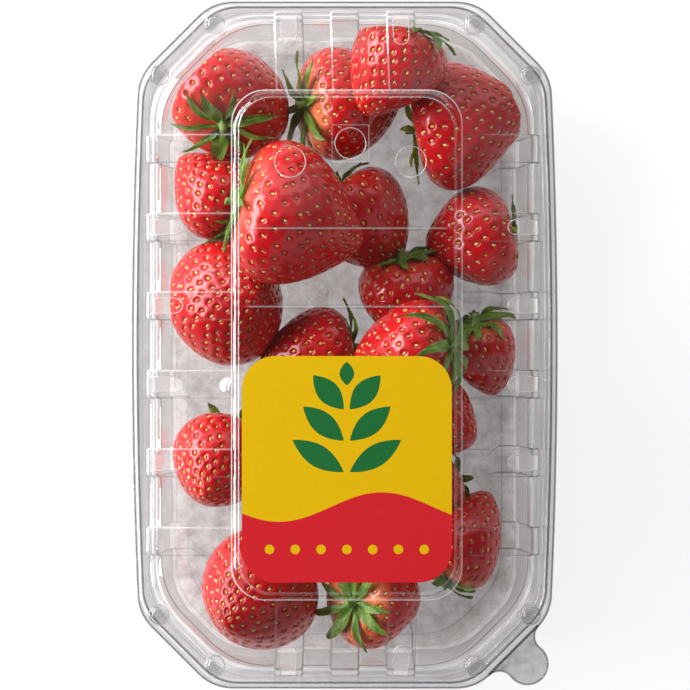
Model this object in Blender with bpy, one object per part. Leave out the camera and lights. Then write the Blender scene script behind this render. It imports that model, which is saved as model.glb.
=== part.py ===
"""A clear plastic punnet of strawberries, shut with its clipped-on lid. Metres, +Z up.

The origin is the middle of the underside. +Y runs along the punnet's length, and the lid's
pull tab stands out of the corner at +X, -Y. The tray and the lid are thin formed sheets:
each is lofted from rows, outlines that follow one another from the lip to the middle, and
is then given its thickness. Both sheets share their ribs and the way that a row is sampled.
"""

import math
import random

import bmesh
import bpy
from mathutils import Matrix, Vector

# Driving dimensions of the pack
HALF_WIDTH = 0.0566
HALF_LENGTH = 0.0939
SHEET = 0.0005
GAP = 0.0003
FLANGE_TOP = 0.0453
LID_FLANGE = 0.0462

# Outlines, each with the size of its cut corner, the radius of that corner's vertices and how
# far its long sides bow out
RIM = (0.0205, 0.0130, 0.0015)
WALL = (0.0195, 0.0220, 0.0)
FOOT = (0.0155, 0.0180, 0.0)
BASE = (0.0155, 0.0010, 0.0)
DOME = (0.0200, 0.0215, 0.0)

# Ribs, on the long sides by y and on the short sides by x
LONG_RIBS = [-0.0535, -0.0321, -0.0107, 0.0107, 0.0321, 0.0535]
SHORT_RIBS = [-0.0153, 0.0, 0.0153]
RIB_HALF = 0.0041
RIB_FLANK = 0.0010
VERTEX_STEPS = 4
CORNER_STEPS = 7

# Profiles from the lip inwards: inset from the rim, height, outline, and how far the ribs
# stand out and up
TRAY_PROFILE = [
    (0.0014, 0.0428, RIM, 0.0, 0.0),
    (0.0015, 0.0450, RIM, 0.0, 0.0),
    (0.0019, FLANGE_TOP, RIM, 0.0, 0.0),
    (0.0048, FLANGE_TOP, WALL, 0.0006, 0.0),
    (0.0057, 0.0443, WALL, 0.0006, 0.0),
    (0.0084, 0.0050, FOOT, 0.0008, 0.0),
    (0.0093, 0.0021, FOOT, 0.0005, 0.0),
    (0.0125, SHEET, BASE, 0.0, 0.0),
]
LID_PROFILE = [
    (0.0, 0.0425, RIM, 0.0, 0.0),
    (0.0004, 0.0457, RIM, 0.0, 0.0),
    (0.0011, LID_FLANGE, RIM, 0.0, 0.0),
    (0.0040, LID_FLANGE, DOME, 0.0008, 0.0),
    (0.0052, 0.0497, DOME, 0.0009, 0.0),
    (0.0066, 0.0508, DOME, 0.0009, 0.0004),
]

# The lid's raised panel, vents and pull tab
PANEL_SHIFT = 0.0006
PANEL_HALF_X = 0.0313
PANEL_HALF_Y = 0.0693
PANEL_CORNER = 0.0090
PANEL_FOOT = 0.0535
PANEL_TOP = 0.0557
PANEL_STEP = 0.0013
PANEL_RIB_UP = 0.0005
VENT_RADIUS = 0.0042
VENTS = [(-0.0148, 0.0498), (0.0016, 0.0548), (0.0180, 0.0498)]
SLOT_LENGTH = 0.0085
SLOT_HALF_WIDTH = 0.0021
SLOT_INSET = 0.0045
SLOT_FOOT = 0.0485
SLOTTED_LONG_RIBS = LONG_RIBS[1:5]
SLOTTED_SHORT_RIBS = [SHORT_RIBS[0], SHORT_RIBS[2]]
BUTTON_RADIUS = 0.0022
BUTTON_TOP_RADIUS = 0.0013
BUTTON_HEIGHT = 0.0016
BUTTON_SIDES = 8
BUTTON_PLACES = [(0.0508, 0.0737), (0.0355, 0.0877)]
TAB_REACH = 0.0052
TAB_RADIUS = 0.0056
TAB_FILLET = 0.0040
TAB_ROOT = 0.0003
TAB_Z = 0.0432
TAB_TURN = -135

# The label on the panel
LABEL_HALF_X = 0.0285
LABEL_LOW_Y = -0.0645
LABEL_HIGH_Y = -0.0030
LABEL_CORNER = 0.0090
LABEL_THICKNESS = 0.0002

# The strawberries: x and y of the middle, height of the lowest point, length from calyx to tip,
# width and height across, heading and rise in degrees of the calyx, how much the berry narrows
# towards its tip, and the leaves that show
BERRIES = [
    (-0.0314, 0.0690, 0.0010, 0.030, 0.0340, 0.0300, 253, 50, 0.28, 8),
    (-0.0365, 0.0429, 0.0010, 0.025, 0.0250, 0.0240, -50, 15, 0.30, 7),
    (-0.0135, 0.0347, 0.0230, 0.036, 0.0395, 0.0310, 163, 12, 0.36, 8),
    (0.0049, 0.0352, 0.0010, 0.029, 0.0290, 0.0270, 125, 5, 0.30, 0),
    (0.0009, 0.0683, 0.0010, 0.030, 0.0320, 0.0280, 188, 22, 0.26, 7),
    (0.0145, 0.0758, 0.0235, 0.029, 0.0270, 0.0260, 58, 10, 0.32, 7),
    (0.0336, 0.0615, 0.0040, 0.034, 0.0365, 0.0310, 191, -8, 0.46, 0),
    (0.0364, 0.0300, 0.0010, 0.025, 0.0280, 0.0260, 12, 5, 0.20, 6),
    (-0.0322, 0.0121, 0.0010, 0.032, 0.0330, 0.0325, 200, -60, 0.28, 0),
    (0.0170, 0.0134, 0.0010, 0.026, 0.0270, 0.0260, 95, 18, 0.28, 7),
    (0.0173, -0.0020, 0.0240, 0.030, 0.0270, 0.0260, 6, 22, 0.34, 8),
    (0.0390, -0.0030, 0.0010, 0.023, 0.0190, 0.0200, 95, 40, 0.26, 8),
    (-0.0092, -0.0022, 0.0010, 0.026, 0.0250, 0.0240, 10, -5, 0.30, 0),
    (-0.0355, -0.0315, 0.0010, 0.0275, 0.0275, 0.0270, 70, -50, 0.28, 0),
    (-0.0242, -0.0690, 0.0010, 0.0325, 0.0340, 0.0325, 40, -55, 0.28, 0),
    (0.0090, -0.0706, 0.0010, 0.028, 0.0270, 0.0260, 188, 54, 0.30, 8),
    (0.0331, -0.0545, 0.0010, 0.0285, 0.0235, 0.0225, 242, 12, 0.28, 0),
    (0.0248, -0.0198, 0.0010, 0.026, 0.0250, 0.0250, 150, -30, 0.28, 0),
    (0.0225, -0.0405, 0.0010, 0.022, 0.0200, 0.0200, 20, -25, 0.28, 0),
    (-0.0090, -0.0280, 0.0010, 0.028, 0.0280, 0.0270, 100, 20, 0.28, 0),
    (0.0000, -0.0500, 0.0010, 0.026, 0.0260, 0.0250, 300, 15, 0.28, 0),
    (0.0070, -0.0310, 0.0260, 0.027, 0.0260, 0.0250, 30, 25, 0.28, 6),
]
LEAVES = 9
LOW = 2
BERRY_SIDES = 9
BERRY_RINGS = 6
LEAF_LENGTH = 0.0110
LEAF_DROP = 0.0030
LEAF_LIFT = 0.0012
LEAF_THICKNESS = 0.0006
LEAF_ROOT = 0.0034
UPPER_LAYER = 0.015
CORE_OUTLINE = [
    (-0.036, 0.070), (0.002, 0.072), (0.036, 0.060), (0.038, 0.028), (0.038, -0.004),
    (0.026, -0.022), (0.036, -0.055), (0.010, -0.072), (-0.025, -0.068), (-0.035, -0.030),
    (-0.034, 0.012), (-0.037, 0.042),
]
CORE_LOW = 0.009
CORE_HIGH = 0.015
CORE_POST = 0.006

# The tray's wall where it presses berries in: its inset and outline at the foot and at the top
PRESS_GAP = 0.0007
LEAF_PRESS_GAP = 0.0011
PRESS_LOW = (0.0050, 0.0084, FOOT)
PRESS_HIGH = (0.0443, 0.0060, WALL)
PRESS_WAYS = 16

CLEAR = ("clear_pet", (0.90, 0.93, 0.94), 0.08)
YELLOW = ("label_yellow", (0.93, 0.72, 0.02), 0.35)
RED = ("strawberry_red", (0.62, 0.02, 0.03), 0.28)
SHARP = math.radians(35)


def clear_scene():
    for old in list(bpy.data.objects):
        bpy.data.objects.remove(old)


def material(name, colour, roughness):
    made = bpy.data.materials.get(name)
    if made is None:
        made = bpy.data.materials.new(name)
        made.use_nodes = True
        shader = made.node_tree.nodes["Principled BSDF"]
        shader.inputs["Base Color"].default_value = (*colour, 1.0)
        shader.inputs["Roughness"].default_value = roughness
        shader.inputs["Metallic"].default_value = 0.0
    return made


def add_object(name, bm, finish, collection=None):
    bmesh.ops.recalc_face_normals(bm, faces=bm.faces[:])
    mesh = bpy.data.meshes.new(name)
    bm.to_mesh(mesh)
    bm.free()
    mesh.materials.append(material(*finish))
    soften(mesh)
    made = bpy.data.objects.new(name, mesh)
    (collection or bpy.context.scene.collection).objects.link(made)
    return made


def soften(mesh):
    """Shades a mesh smooth but for its sharp edges."""
    mesh.shade_smooth()
    mesh.set_sharp_from_angle(angle=SHARP)


# Rows of a sheet


def side_samples(ribs, end):
    """Places along a straight side, each with how far the rib stands out there, from 0 to 1."""
    places = [(-end, 0.0)]
    for middle in ribs:
        outer, inner = RIB_HALF, RIB_HALF - RIB_FLANK
        places += [(middle - outer, 0.0), (middle - inner, 1.0)]
        places += [(middle + inner, 1.0), (middle + outer, 0.0)]
    return places + [(end, 0.0)]


def corner_points(half_x, half_y, cut, radius):
    """The inner points of a cut corner with rounded vertices, from the side at +X to that at +Y."""
    lead = radius * math.tan(math.pi / 8)
    first = []
    for step in range(VERTEX_STEPS + 1):
        turn = math.pi / 4 * step / VERTEX_STEPS
        first.append((radius * (1 - math.cos(turn)), cut + lead - radius * math.sin(turn)))
    insets = first + [(y, x) for x, y in reversed(first)]
    return resampled([(half_x - x, half_y - y) for x, y in insets], CORNER_STEPS)


def resampled(points, steps):
    """The inner points of a line cut into equal steps."""
    lengths = [0.0]
    for first, second in zip(points, points[1:]):
        lengths.append(lengths[-1] + math.dist(first, second))
    found = []
    for index in range(1, steps):
        wanted = lengths[-1] * index / steps
        at = max(i for i, length in enumerate(lengths[:-1]) if length <= wanted)
        share = (wanted - lengths[at]) / (lengths[at + 1] - lengths[at])
        found.append(tuple(a + (b - a) * share for a, b in zip(points[at], points[at + 1])))
    return found


def row(half_x, half_y, z, outline, rib_out=0.0, rib_up=0.0, shift=0.0):
    """One outline as a ring of points, anticlockwise from the long side at +X."""
    cut, radius, bow = outline
    reach = cut + radius * math.tan(math.pi / 8)
    end_y, end_x = half_y - reach, half_x - reach
    half = []
    for y, rib in side_samples(LONG_RIBS, end_y):
        swell = bow * (1 - (y / end_y) ** 2)
        half.append((half_x + swell + rib * rib_out, y, z + rib * rib_up))
    corner = corner_points(half_x, half_y, cut, radius)
    half += [(x, y, z) for x, y in corner]
    for x, rib in reversed(side_samples(SHORT_RIBS, end_x)):
        half.append((x, half_y + rib * rib_out, z + rib * rib_up))
    half += [(-x, y, z) for x, y in reversed(corner)]
    ring = half + [(-x, -y, height) for x, y, height in half]
    return [Vector((x + shift, y, height)) for x, y, height in ring]


def profile_rows(profile):
    return [
        row(HALF_WIDTH - inset, HALF_LENGTH - inset, height, outline, rib_out, rib_up)
        for inset, height, outline, rib_out, rib_up in profile
    ]


def panel_rows():
    """The lid's shoulder where it meets the panel, and the panel's step."""
    corner = (PANEL_CORNER / (1 + math.sqrt(0.5)), PANEL_CORNER, 0.0)
    rows = [row(PANEL_HALF_X, PANEL_HALF_Y, PANEL_FOOT, corner, 0.0, PANEL_RIB_UP, PANEL_SHIFT)]
    for steps, height in ((1, PANEL_TOP - SHEET), (2, PANEL_TOP)):
        half_x, half_y = PANEL_HALF_X - steps * PANEL_STEP, PANEL_HALF_Y - steps * PANEL_STEP
        rows.append(row(half_x, half_y, height, corner, shift=PANEL_SHIFT))
    return rows


def sheet(name, rows, finish):
    """Lofts rows from the lip inwards, fans the last one shut and gives the sheet its thickness."""
    bm = bmesh.new()
    rings = [[bm.verts.new(point) for point in ring] for ring in rows]
    for outer, inner in zip(rings, rings[1:]):
        count = len(outer)
        for index in range(count):
            after = (index + 1) % count
            bm.faces.new((outer[index], outer[after], inner[after], inner[index]))
    middle = bm.verts.new(sum((vert.co for vert in rings[-1]), Vector()) / len(rings[-1]))
    for first, second in zip(rings[-1], rings[-1][1:] + rings[-1][:1]):
        bm.faces.new((first, second, middle))
    made = add_object(name, bm, finish)
    if made.data.polygons[-1].normal.z < 0:
        made.data.flip_normals()
    thick = made.modifiers.new("thickness", "SOLIDIFY")
    thick.thickness = SHEET
    thick.offset = -1.0
    thick.use_even_offset = True
    return made


# Holes, buttons and the tab of the lid


def prism(name, outline, low, high, finish, collection=None):
    """A closed outline drawn at low and extruded up to high."""
    bm = bmesh.new()
    face = bm.faces.new([bm.verts.new((x, y, low)) for x, y in outline])
    risen = bmesh.ops.extrude_face_region(bm, geom=[face])["geom"]
    bmesh.ops.translate(
        bm, vec=(0, 0, high - low), verts=[v for v in risen if isinstance(v, bmesh.types.BMVert)]
    )
    return add_object(name, bm, finish, collection=collection)


def arc(centre_x, centre_y, radius, start, end, steps):
    turns = [math.radians(start + (end - start) * i / steps) for i in range(steps + 1)]
    return [(centre_x + radius * math.cos(t), centre_y + radius * math.sin(t)) for t in turns]


def slot_outline():
    """A vent slot along +X: square at its outer end and rounded at its inner one."""
    end = SLOT_LENGTH / 2
    half = SLOT_HALF_WIDTH
    inner = arc(-end + half, 0.0, half, 90, 270, 4)
    return [(end, -half), (end, half)] + inner


def slot_places():
    """(x, y, turn) of each slot's middle and of the way that its outer end points."""
    middle_x = HALF_WIDTH - SLOT_INSET - SLOT_LENGTH / 2
    middle_y = HALF_LENGTH - SLOT_INSET - SLOT_LENGTH / 2
    places = []
    for side in (1, -1):
        turn = 0.0 if side > 0 else math.pi
        places += [(side * middle_x, y, turn) for y in SLOTTED_LONG_RIBS]
        places += [(x, side * middle_y, side * math.pi / 2) for x in SLOTTED_SHORT_RIBS]
    return places


def cut_vents(lid):
    """Cuts the round vents in the panel and the slots in the ribs."""
    cutters = bpy.data.collections.new("lid_cutters")
    bpy.context.scene.collection.children.link(cutters)
    low, high = PANEL_FOOT - 2 * SHEET, PANEL_TOP + 2 * SHEET
    for index, (x, y) in enumerate(VENTS):
        ring = arc(x, y, VENT_RADIUS, 0, 340, 17)
        prism(f"vent_cutter_{index}", ring, low, high, CLEAR, cutters)
    for index, (x, y, turn) in enumerate(slot_places()):
        spin = Matrix.Rotation(turn, 2)
        outline = [tuple(spin @ Vector(p) + Vector((x, y))) for p in slot_outline()]
        prism(f"slot_cutter_{index}", outline, SLOT_FOOT, high, CLEAR, cutters)
    for cutter in cutters.objects:
        cutter.hide_render = True
        cutter.display_type = "WIRE"
    hole = lid.modifiers.new("vents", "BOOLEAN")
    hole.operation = "DIFFERENCE"
    hole.operand_type = "COLLECTION"
    hole.collection = cutters
    hole.solver = "EXACT"


def tab_outline():
    """The pull tab seen from above: a round end that flows into the corner's straight cut."""
    spread = math.sqrt((TAB_RADIUS + TAB_FILLET) ** 2 - (TAB_REACH - TAB_FILLET) ** 2)
    lean = math.degrees(math.atan2(TAB_REACH - TAB_FILLET, spread))
    right = arc(spread, TAB_FILLET, TAB_FILLET, 270, 180 - lean, 5)
    bulb = arc(0.0, TAB_REACH, TAB_RADIUS, -lean, 180 + lean, 14)[1:-1]
    left = [(-x, y) for x, y in reversed(right)]
    outline = [(spread, -TAB_ROOT)] + right + bulb + left + [(-spread, -TAB_ROOT)]
    middle = HALF_WIDTH - RIM[0] / 2, -(HALF_LENGTH - RIM[0] / 2)
    turn = Matrix.Rotation(math.radians(TAB_TURN), 2)
    return [tuple(turn @ Vector((x, y)) + Vector(middle)) for x, y in outline]


def add_tab_and_buttons(lid):
    """Joins the pull tab and the round buttons that clip the corners."""
    extras = bpy.data.collections.new("lid_extras")
    bpy.context.scene.collection.children.link(extras)
    prism("tab_shape", tab_outline(), TAB_Z, TAB_Z + SHEET, CLEAR, extras)
    for index in range(4):
        side_x, side_y = (1, -1)[index % 2], (1, -1)[index // 2]
        for number, (x, y) in enumerate(BUTTON_PLACES):
            bm = bmesh.new()
            bmesh.ops.create_cone(
                bm,
                cap_ends=True,
                segments=BUTTON_SIDES,
                radius1=BUTTON_RADIUS,
                radius2=BUTTON_TOP_RADIUS,
                depth=BUTTON_HEIGHT + SHEET / 2,
            )
            middle = LID_FLANGE + BUTTON_HEIGHT / 2 - SHEET / 4
            bmesh.ops.translate(bm, vec=(side_x * x, side_y * y, middle), verts=bm.verts[:])
            add_object(f"button_{index}_{number}", bm, CLEAR, collection=extras)
    join(lid, extras, "EXACT")


def join(target, collection, solver):
    """Joins a collection's solids to target for good, and keeps only the outer skin."""
    union = target.modifiers.new("union", "BOOLEAN")
    union.operation = "UNION"
    union.operand_type = "COLLECTION"
    union.collection = collection
    union.solver = solver
    bpy.context.view_layer.update()
    graph = bpy.context.evaluated_depsgraph_get()
    fused = bpy.data.meshes.new_from_object(target.evaluated_get(graph))
    fused.name = target.name
    target.modifiers.clear()
    target.data = fused
    for piece in list(collection.objects):
        bpy.data.objects.remove(piece)
    bpy.data.collections.remove(collection)
    keep_largest(fused)


def keep_largest(mesh):
    """Drops sealed hollows and scraps: every skin but the one with most points."""
    bm = bmesh.new()
    bm.from_mesh(mesh)
    left, skins = set(bm.verts), []
    while left:
        skin, edge_of = set(), [next(iter(left))]
        while edge_of:
            vert = edge_of.pop()
            if vert in left:
                left.discard(vert)
                skin.add(vert)
                edge_of += [e.other_vert(vert) for e in vert.link_edges]
        skins.append(skin)
    largest = max(skins, key=len)
    bmesh.ops.delete(bm, geom=[v for v in bm.verts if v not in largest], context="VERTS")
    bm.to_mesh(mesh)
    bm.free()
    soften(mesh)


# Label


def add_label():
    middle_y = (LABEL_LOW_Y + LABEL_HIGH_Y) / 2
    side_y = (LABEL_HIGH_Y - LABEL_LOW_Y) / 2 - LABEL_CORNER
    side_x = LABEL_HALF_X - LABEL_CORNER
    outline = []
    for start, x, y in ((0, 1, 1), (90, -1, 1), (180, -1, -1), (270, 1, -1)):
        corner = arc(
            x * side_x + PANEL_SHIFT, y * side_y + middle_y, LABEL_CORNER, start, start + 90, 5
        )
        outline += corner
    low = PANEL_TOP + GAP
    prism("label", outline, low, low + LABEL_THICKNESS, YELLOW)


# Strawberries


def berry_place(x, y, z, heading, rise):
    """The frame of a berry: its own +Z points at the calyx and its own +X lies level."""
    turn, lift = math.radians(heading), math.radians(rise)
    up = Vector((math.cos(turn) * math.cos(lift), math.sin(turn) * math.cos(lift), math.sin(lift)))
    level = Vector((-math.sin(turn), math.cos(turn), 0.0))
    third = up.cross(level)
    rotation = Matrix((level, third, up)).transposed().to_4x4()
    return Matrix.Translation((x, y, z)) @ rotation


def berry_point(direction, length, width, height, taper):
    """A unit vector taken to the berry's skin: an ellipsoid that narrows towards the tip."""
    narrow = (1 + taper * direction.z) / (1 + 0.5 * taper**2)
    return Vector(
        (
            direction.x * width / 2 * narrow,
            direction.y * height / 2 * narrow,
            direction.z * length / 2,
        )
    )


def wall_reach(angle, height, gap):
    """How far the free space inside the tray's wall reaches in one direction, at one height."""
    low, high = PRESS_LOW, PRESS_HIGH
    up = min(max((height - low[0]) / (high[0] - low[0]), 0.0), 1.0)
    inset = low[1] + (high[1] - low[1]) * up + gap
    cut = low[2][0] + (high[2][0] - low[2][0]) * up
    radius = low[2][1] + (high[2][1] - low[2][1]) * up
    half_x, half_y = HALF_WIDTH - inset, HALF_LENGTH - inset
    across, along = abs(math.cos(angle)), abs(math.sin(angle))
    if min(across, along) < math.sin(math.pi / 16):
        return half_x * across + half_y * along
    if abs(across - along) < math.sin(math.pi / 16):
        return (half_x + half_y - cut) * math.sqrt(0.5)
    round_off = radius * (1 / math.cos(math.pi / 8) - 1)
    if across > along:
        return half_x * across + (half_y - cut) * along - round_off
    return (half_x - cut) * across + half_y * along - round_off


def press(piece, gap):
    """Moves in each point of a piece that would lie nearer to the tray's wall than the gap."""
    for vert in piece.verts:
        for step in range(PRESS_WAYS):
            angle = 2 * math.pi * step / PRESS_WAYS
            way = Vector((math.cos(angle), math.sin(angle), 0.0))
            over = vert.co.dot(way) - wall_reach(angle, vert.co.z, gap)
            if over > 0:
                vert.co -= way * over


def settle(piece, low):
    """Lifts a piece until its lowest point is at low; returns how far it went."""
    rise = low - min(vert.co.z for vert in piece.verts)
    bmesh.ops.translate(piece, vec=(0, 0, rise), verts=piece.verts[:])
    return rise


def add_berry(index, berry, collection):
    """One strawberry set down at its height; returns the height of its middle."""
    x, y, low, length, width, height, heading, rise, taper, _ = berry
    bm = bmesh.new()
    bmesh.ops.create_uvsphere(bm, u_segments=BERRY_SIDES, v_segments=BERRY_RINGS, radius=1.0)
    for vert in bm.verts:
        vert.co = berry_point(vert.co.normalized(), length, width, height, taper)
    bmesh.ops.transform(bm, matrix=berry_place(x, y, 0.0, heading, rise), verts=bm.verts[:])
    middle = settle(bm, low)
    press(bm, PRESS_GAP)
    add_object(f"berry_{index}", bm, RED, collection=collection)
    return middle


def leaf_ring(leaves, draw):
    """The calyx's edge as (radius, angle): a notch and a tip for each leaf."""
    ring = []
    for number in range(leaves):
        turn = 2 * math.pi * number / leaves
        ring.append((LEAF_ROOT, turn - math.pi / leaves))
        ring.append((LEAF_LENGTH * draw.uniform(0.8, 1.1), turn + draw.uniform(-0.12, 0.12)))
    return ring


def add_calyx(index, berry, middle, collection, draw):
    """A star of thin leaves that lies on the berry's shoulder and lifts at its tips."""
    x, y, _, length, _, _, heading, rise, _, leaves = berry
    ring = leaf_ring(leaves, draw)
    foot = length / 2
    bm = bmesh.new()
    layers = []
    for lift in (0.0, LEAF_THICKNESS):
        points = [bm.verts.new((0, 0, foot - LEAF_THICKNESS + lift))]
        for radius, angle in ring:
            drop = LEAF_DROP * (radius / LEAF_LENGTH) ** 2 - LEAF_LIFT * (radius > LEAF_ROOT)
            place = (radius * math.cos(angle), radius * math.sin(angle), foot - drop + lift)
            points.append(bm.verts.new(place))
        layers.append(points)
    low, high = layers
    count = len(ring)
    for number in range(count):
        first, second = 1 + number, 1 + (number + 1) % count
        bm.faces.new((low[0], low[second], low[first]))
        bm.faces.new((high[0], high[first], high[second]))
        bm.faces.new((low[first], low[second], high[second]))
        bm.faces.new((low[first], high[second], high[first]))
    place = berry_place(x, y, middle, heading, rise)
    bmesh.ops.transform(bm, matrix=place, verts=bm.verts[:])
    press(bm, LEAF_PRESS_GAP)
    add_object(f"calyx_{index}", bm, RED, collection=collection)


def add_heap():
    """The strawberries as one solid: a low core, and a post under each berry on top."""
    heap = prism("strawberries", CORE_OUTLINE, CORE_LOW, CORE_HIGH, RED)
    pieces = bpy.data.collections.new("heap_pieces")
    bpy.context.scene.collection.children.link(pieces)
    draw = random.Random(7)
    for index, berry in enumerate(BERRIES):
        middle = add_berry(index, berry, pieces)
        if berry[LEAVES]:
            add_calyx(index, berry, middle, pieces, draw)
        if berry[LOW] > UPPER_LAYER:
            post = arc(berry[0], berry[1], CORE_POST, 0, 300, 5)
            prism(f"post_{index}", post, CORE_LOW + SHEET, middle, RED, pieces)
    join(heap, pieces, "MANIFOLD")


def build():
    clear_scene()
    sheet("tray", profile_rows(TRAY_PROFILE), CLEAR)
    lid = sheet("lid", profile_rows(LID_PROFILE) + panel_rows(), CLEAR)
    add_tab_and_buttons(lid)
    cut_vents(lid)
    add_label()
    add_heap()


build()
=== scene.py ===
"""The looks of the punnet of strawberries: clear formed plastic, a printed label and real fruit.

The camera looks straight down, as in the photograph. Metres, +Z up, in the CAD's frame. The tray
and the lid are lofted from the same profiles as the CAD's, with finer rows and rounded bends.
"""

import math
import random

import bmesh
import bpy
import numpy as np
from mathutils import Matrix, Vector, noise
from mathutils.geometry import delaunay_2d_cdt


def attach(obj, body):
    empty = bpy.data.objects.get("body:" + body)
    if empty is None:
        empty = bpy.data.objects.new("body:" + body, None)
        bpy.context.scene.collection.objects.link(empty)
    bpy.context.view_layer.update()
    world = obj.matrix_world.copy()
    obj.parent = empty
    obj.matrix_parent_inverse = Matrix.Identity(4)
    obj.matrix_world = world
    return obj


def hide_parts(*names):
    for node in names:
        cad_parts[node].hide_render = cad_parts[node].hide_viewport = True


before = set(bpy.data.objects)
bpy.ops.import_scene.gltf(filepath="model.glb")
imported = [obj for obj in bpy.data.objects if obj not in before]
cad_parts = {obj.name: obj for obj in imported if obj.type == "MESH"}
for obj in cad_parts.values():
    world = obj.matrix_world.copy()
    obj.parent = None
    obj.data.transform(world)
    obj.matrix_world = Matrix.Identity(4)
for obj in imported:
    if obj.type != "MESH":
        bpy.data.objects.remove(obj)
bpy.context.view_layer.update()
MM = 0.001

# The pack's dimensions, as in the CAD
HALF_WIDTH = 0.0566
HALF_LENGTH = 0.0939
SHEET = 0.0005
FLANGE_TOP = 0.0453
LID_FLANGE = 0.0462
RIM = (0.0205, 0.0130, 0.0015)
WALL = (0.0195, 0.0220, 0.0)
FOOT = (0.0155, 0.0180, 0.0)
DOME = (0.0200, 0.0215, 0.0)
LONG_RIBS = [-0.0535, -0.0321, -0.0107, 0.0107, 0.0321, 0.0535]
SHORT_RIBS = [-0.0153, 0.0, 0.0153]
RIB_HALF = 0.0041
RIB_FLANK = 0.0007
PANEL_SHIFT = 0.0006
PANEL_HALF_X = 0.0313
PANEL_HALF_Y = 0.0693
PANEL_CORNER = 0.0090
PANEL_FOOT = 0.0541
PANEL_TOP = 0.0557
PANEL_STEPS = [(0.0012, 0.0547), (0.0019, PANEL_TOP), (0.0027, PANEL_TOP)]
PANEL_RIB_UP = 0.00005
VENT_RADIUS = 0.0042
VENTS = [(-0.0148, 0.0498), (0.0016, 0.0548), (0.0180, 0.0498)]
BUTTON_RADIUS = 0.0022
BUTTON_HEIGHT = 0.0016
BUTTON_PLACES = [(0.0508, 0.0737), (0.0355, 0.0877)]
BUTTON_CLEAR = 0.0034
TAB_REACH = 0.0052
TAB_RADIUS = 0.0056
TAB_FILLET = 0.0040
TAB_Z = 0.0432

# Profiles from the lip inwards: inset, height, outline, rib out, rib up
TRAY_PROFILE = [
    (0.0014, 0.0428, RIM, 0.0, 0.0),
    (0.0015, 0.0450, RIM, 0.0, 0.0),
    (0.0019, FLANGE_TOP, RIM, 0.0, 0.0),
    (0.0030, FLANGE_TOP, RIM, 0.0, 0.0),
    (0.0034, FLANGE_TOP - 0.0006, RIM, 0.0, 0.0),
    (0.0040, FLANGE_TOP - 0.0006, WALL, 0.0006, 0.0),
    (0.0048, FLANGE_TOP, WALL, 0.0008, 0.0),
    (0.0057, 0.0443, WALL, 0.0009, 0.0),
    (0.0084, 0.0050, FOOT, 0.0009, 0.0),
    (0.0093, 0.0021, FOOT, 0.0005, 0.0),
    (0.0125, SHEET, FOOT, 0.0, 0.0),
    (0.0133, SHEET, FOOT, 0.0, 0.0),
]
LID_PROFILE = [
    (0.0, 0.0425, RIM, 0.0, 0.0),
    (0.0004, 0.0457, RIM, 0.0, 0.0),
    (0.0010, LID_FLANGE, RIM, 0.0, 0.0),
    (0.0019, LID_FLANGE, RIM, 0.0, 0.0),
    (0.0022, LID_FLANGE - 0.0004, RIM, 0.0, 0.0),
    (0.0031, LID_FLANGE - 0.0004, DOME, 0.0009, 0.0),
    (0.0040, LID_FLANGE, DOME, 0.0010, 0.0),
    (0.0052, 0.0497, DOME, 0.0010, 0.0),
    (0.0066, 0.0508, DOME, 0.0010, 0.0003),
]
# Painted shade and painted highlight for the line of light that each of those bends refracts, and for the panel's three
TRAY_PAINTED_BEND_LINES = [
    (0.6, 0.0), (0.0, 0.3), (0.0, 0.2), (0.1, 0.0), (0.0, 0.2), (0.1, 0.0), (0.0, 0.2), (0.3, 0.2),
    (0.0, 0.50), (0.0, 0.45), (0.25, 0.0), (0.0, 0.0),
]
LID_PAINTED_BEND_LINES = [
    (0.9, 0.0), (0.5, 0.0), (0.0, 0.9), (0.25, 0.0), (0.0, 0.8), (0.25, 0.0), (0.0, 0.9), (0.0, 0.8),
    (0.8, 0.0),
]
PANEL_PAINTED_BEND_LINES = [(0.0, 0.9), (0.6, 0.0), (0.0, 0.35), (0.0, 0.0)]
BEND = 0.0005
BEND_STEPS = 4


def smooth(value):
    clipped = min(max(value, 0.0), 1.0)
    return clipped * clipped * (3 - 2 * clipped)


# Meshes


def add_mesh(name, points, faces, materials, slots=None, values=None, matrix=None):
    """A smooth mesh; slots is a material index for each face and values are numbers by point."""
    mesh = bpy.data.meshes.new(name)
    mesh.from_pydata([tuple(p) for p in points], [], faces)
    for item in materials:
        mesh.materials.append(item)
    if slots is not None:
        mesh.polygons.foreach_set("material_index", np.asarray(slots, dtype=np.int32))
    for key, numbers in (values or {}).items():
        layer = mesh.attributes.new(key, "FLOAT", "POINT")
        layer.data.foreach_set("value", np.asarray(numbers, dtype=np.float32))
    mesh.validate()
    mesh.shade_smooth()
    made = bpy.data.objects.new(name, mesh)
    bpy.context.scene.collection.objects.link(made)
    if matrix is not None:
        made.matrix_world = matrix
    return made


# Rows of a formed sheet


def side_places(ribs, end):
    """Places along a straight side, each with how far the rib stands out there, from 0 to 1."""
    places = {-end, end}
    for middle in ribs:
        for share in (0.0, 0.25, 0.5, 0.75, 1.0):
            out = RIB_HALF - share * RIB_FLANK
            places |= {middle - out, middle + out}
        for out in (SLOT_HALF, 0.8 * SLOT_HALF, 0.45 * SLOT_HALF, 0.0):
            places |= {middle - out, middle + out}
    for first, second in zip(ribs, ribs[1:]):
        gap = second - first - 2 * RIB_HALF
        places |= {first + RIB_HALF + gap * share for share in (0.33, 0.67)}
    found = []
    for place in sorted(places):
        nearest = min(abs(place - middle) for middle in ribs)
        found.append((place, smooth((RIB_HALF - nearest) / RIB_FLANK)))
    return found


SLOT_HALF = 0.0021
VERTEX_STEPS = 12
CORNER_STEPS = 26


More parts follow.
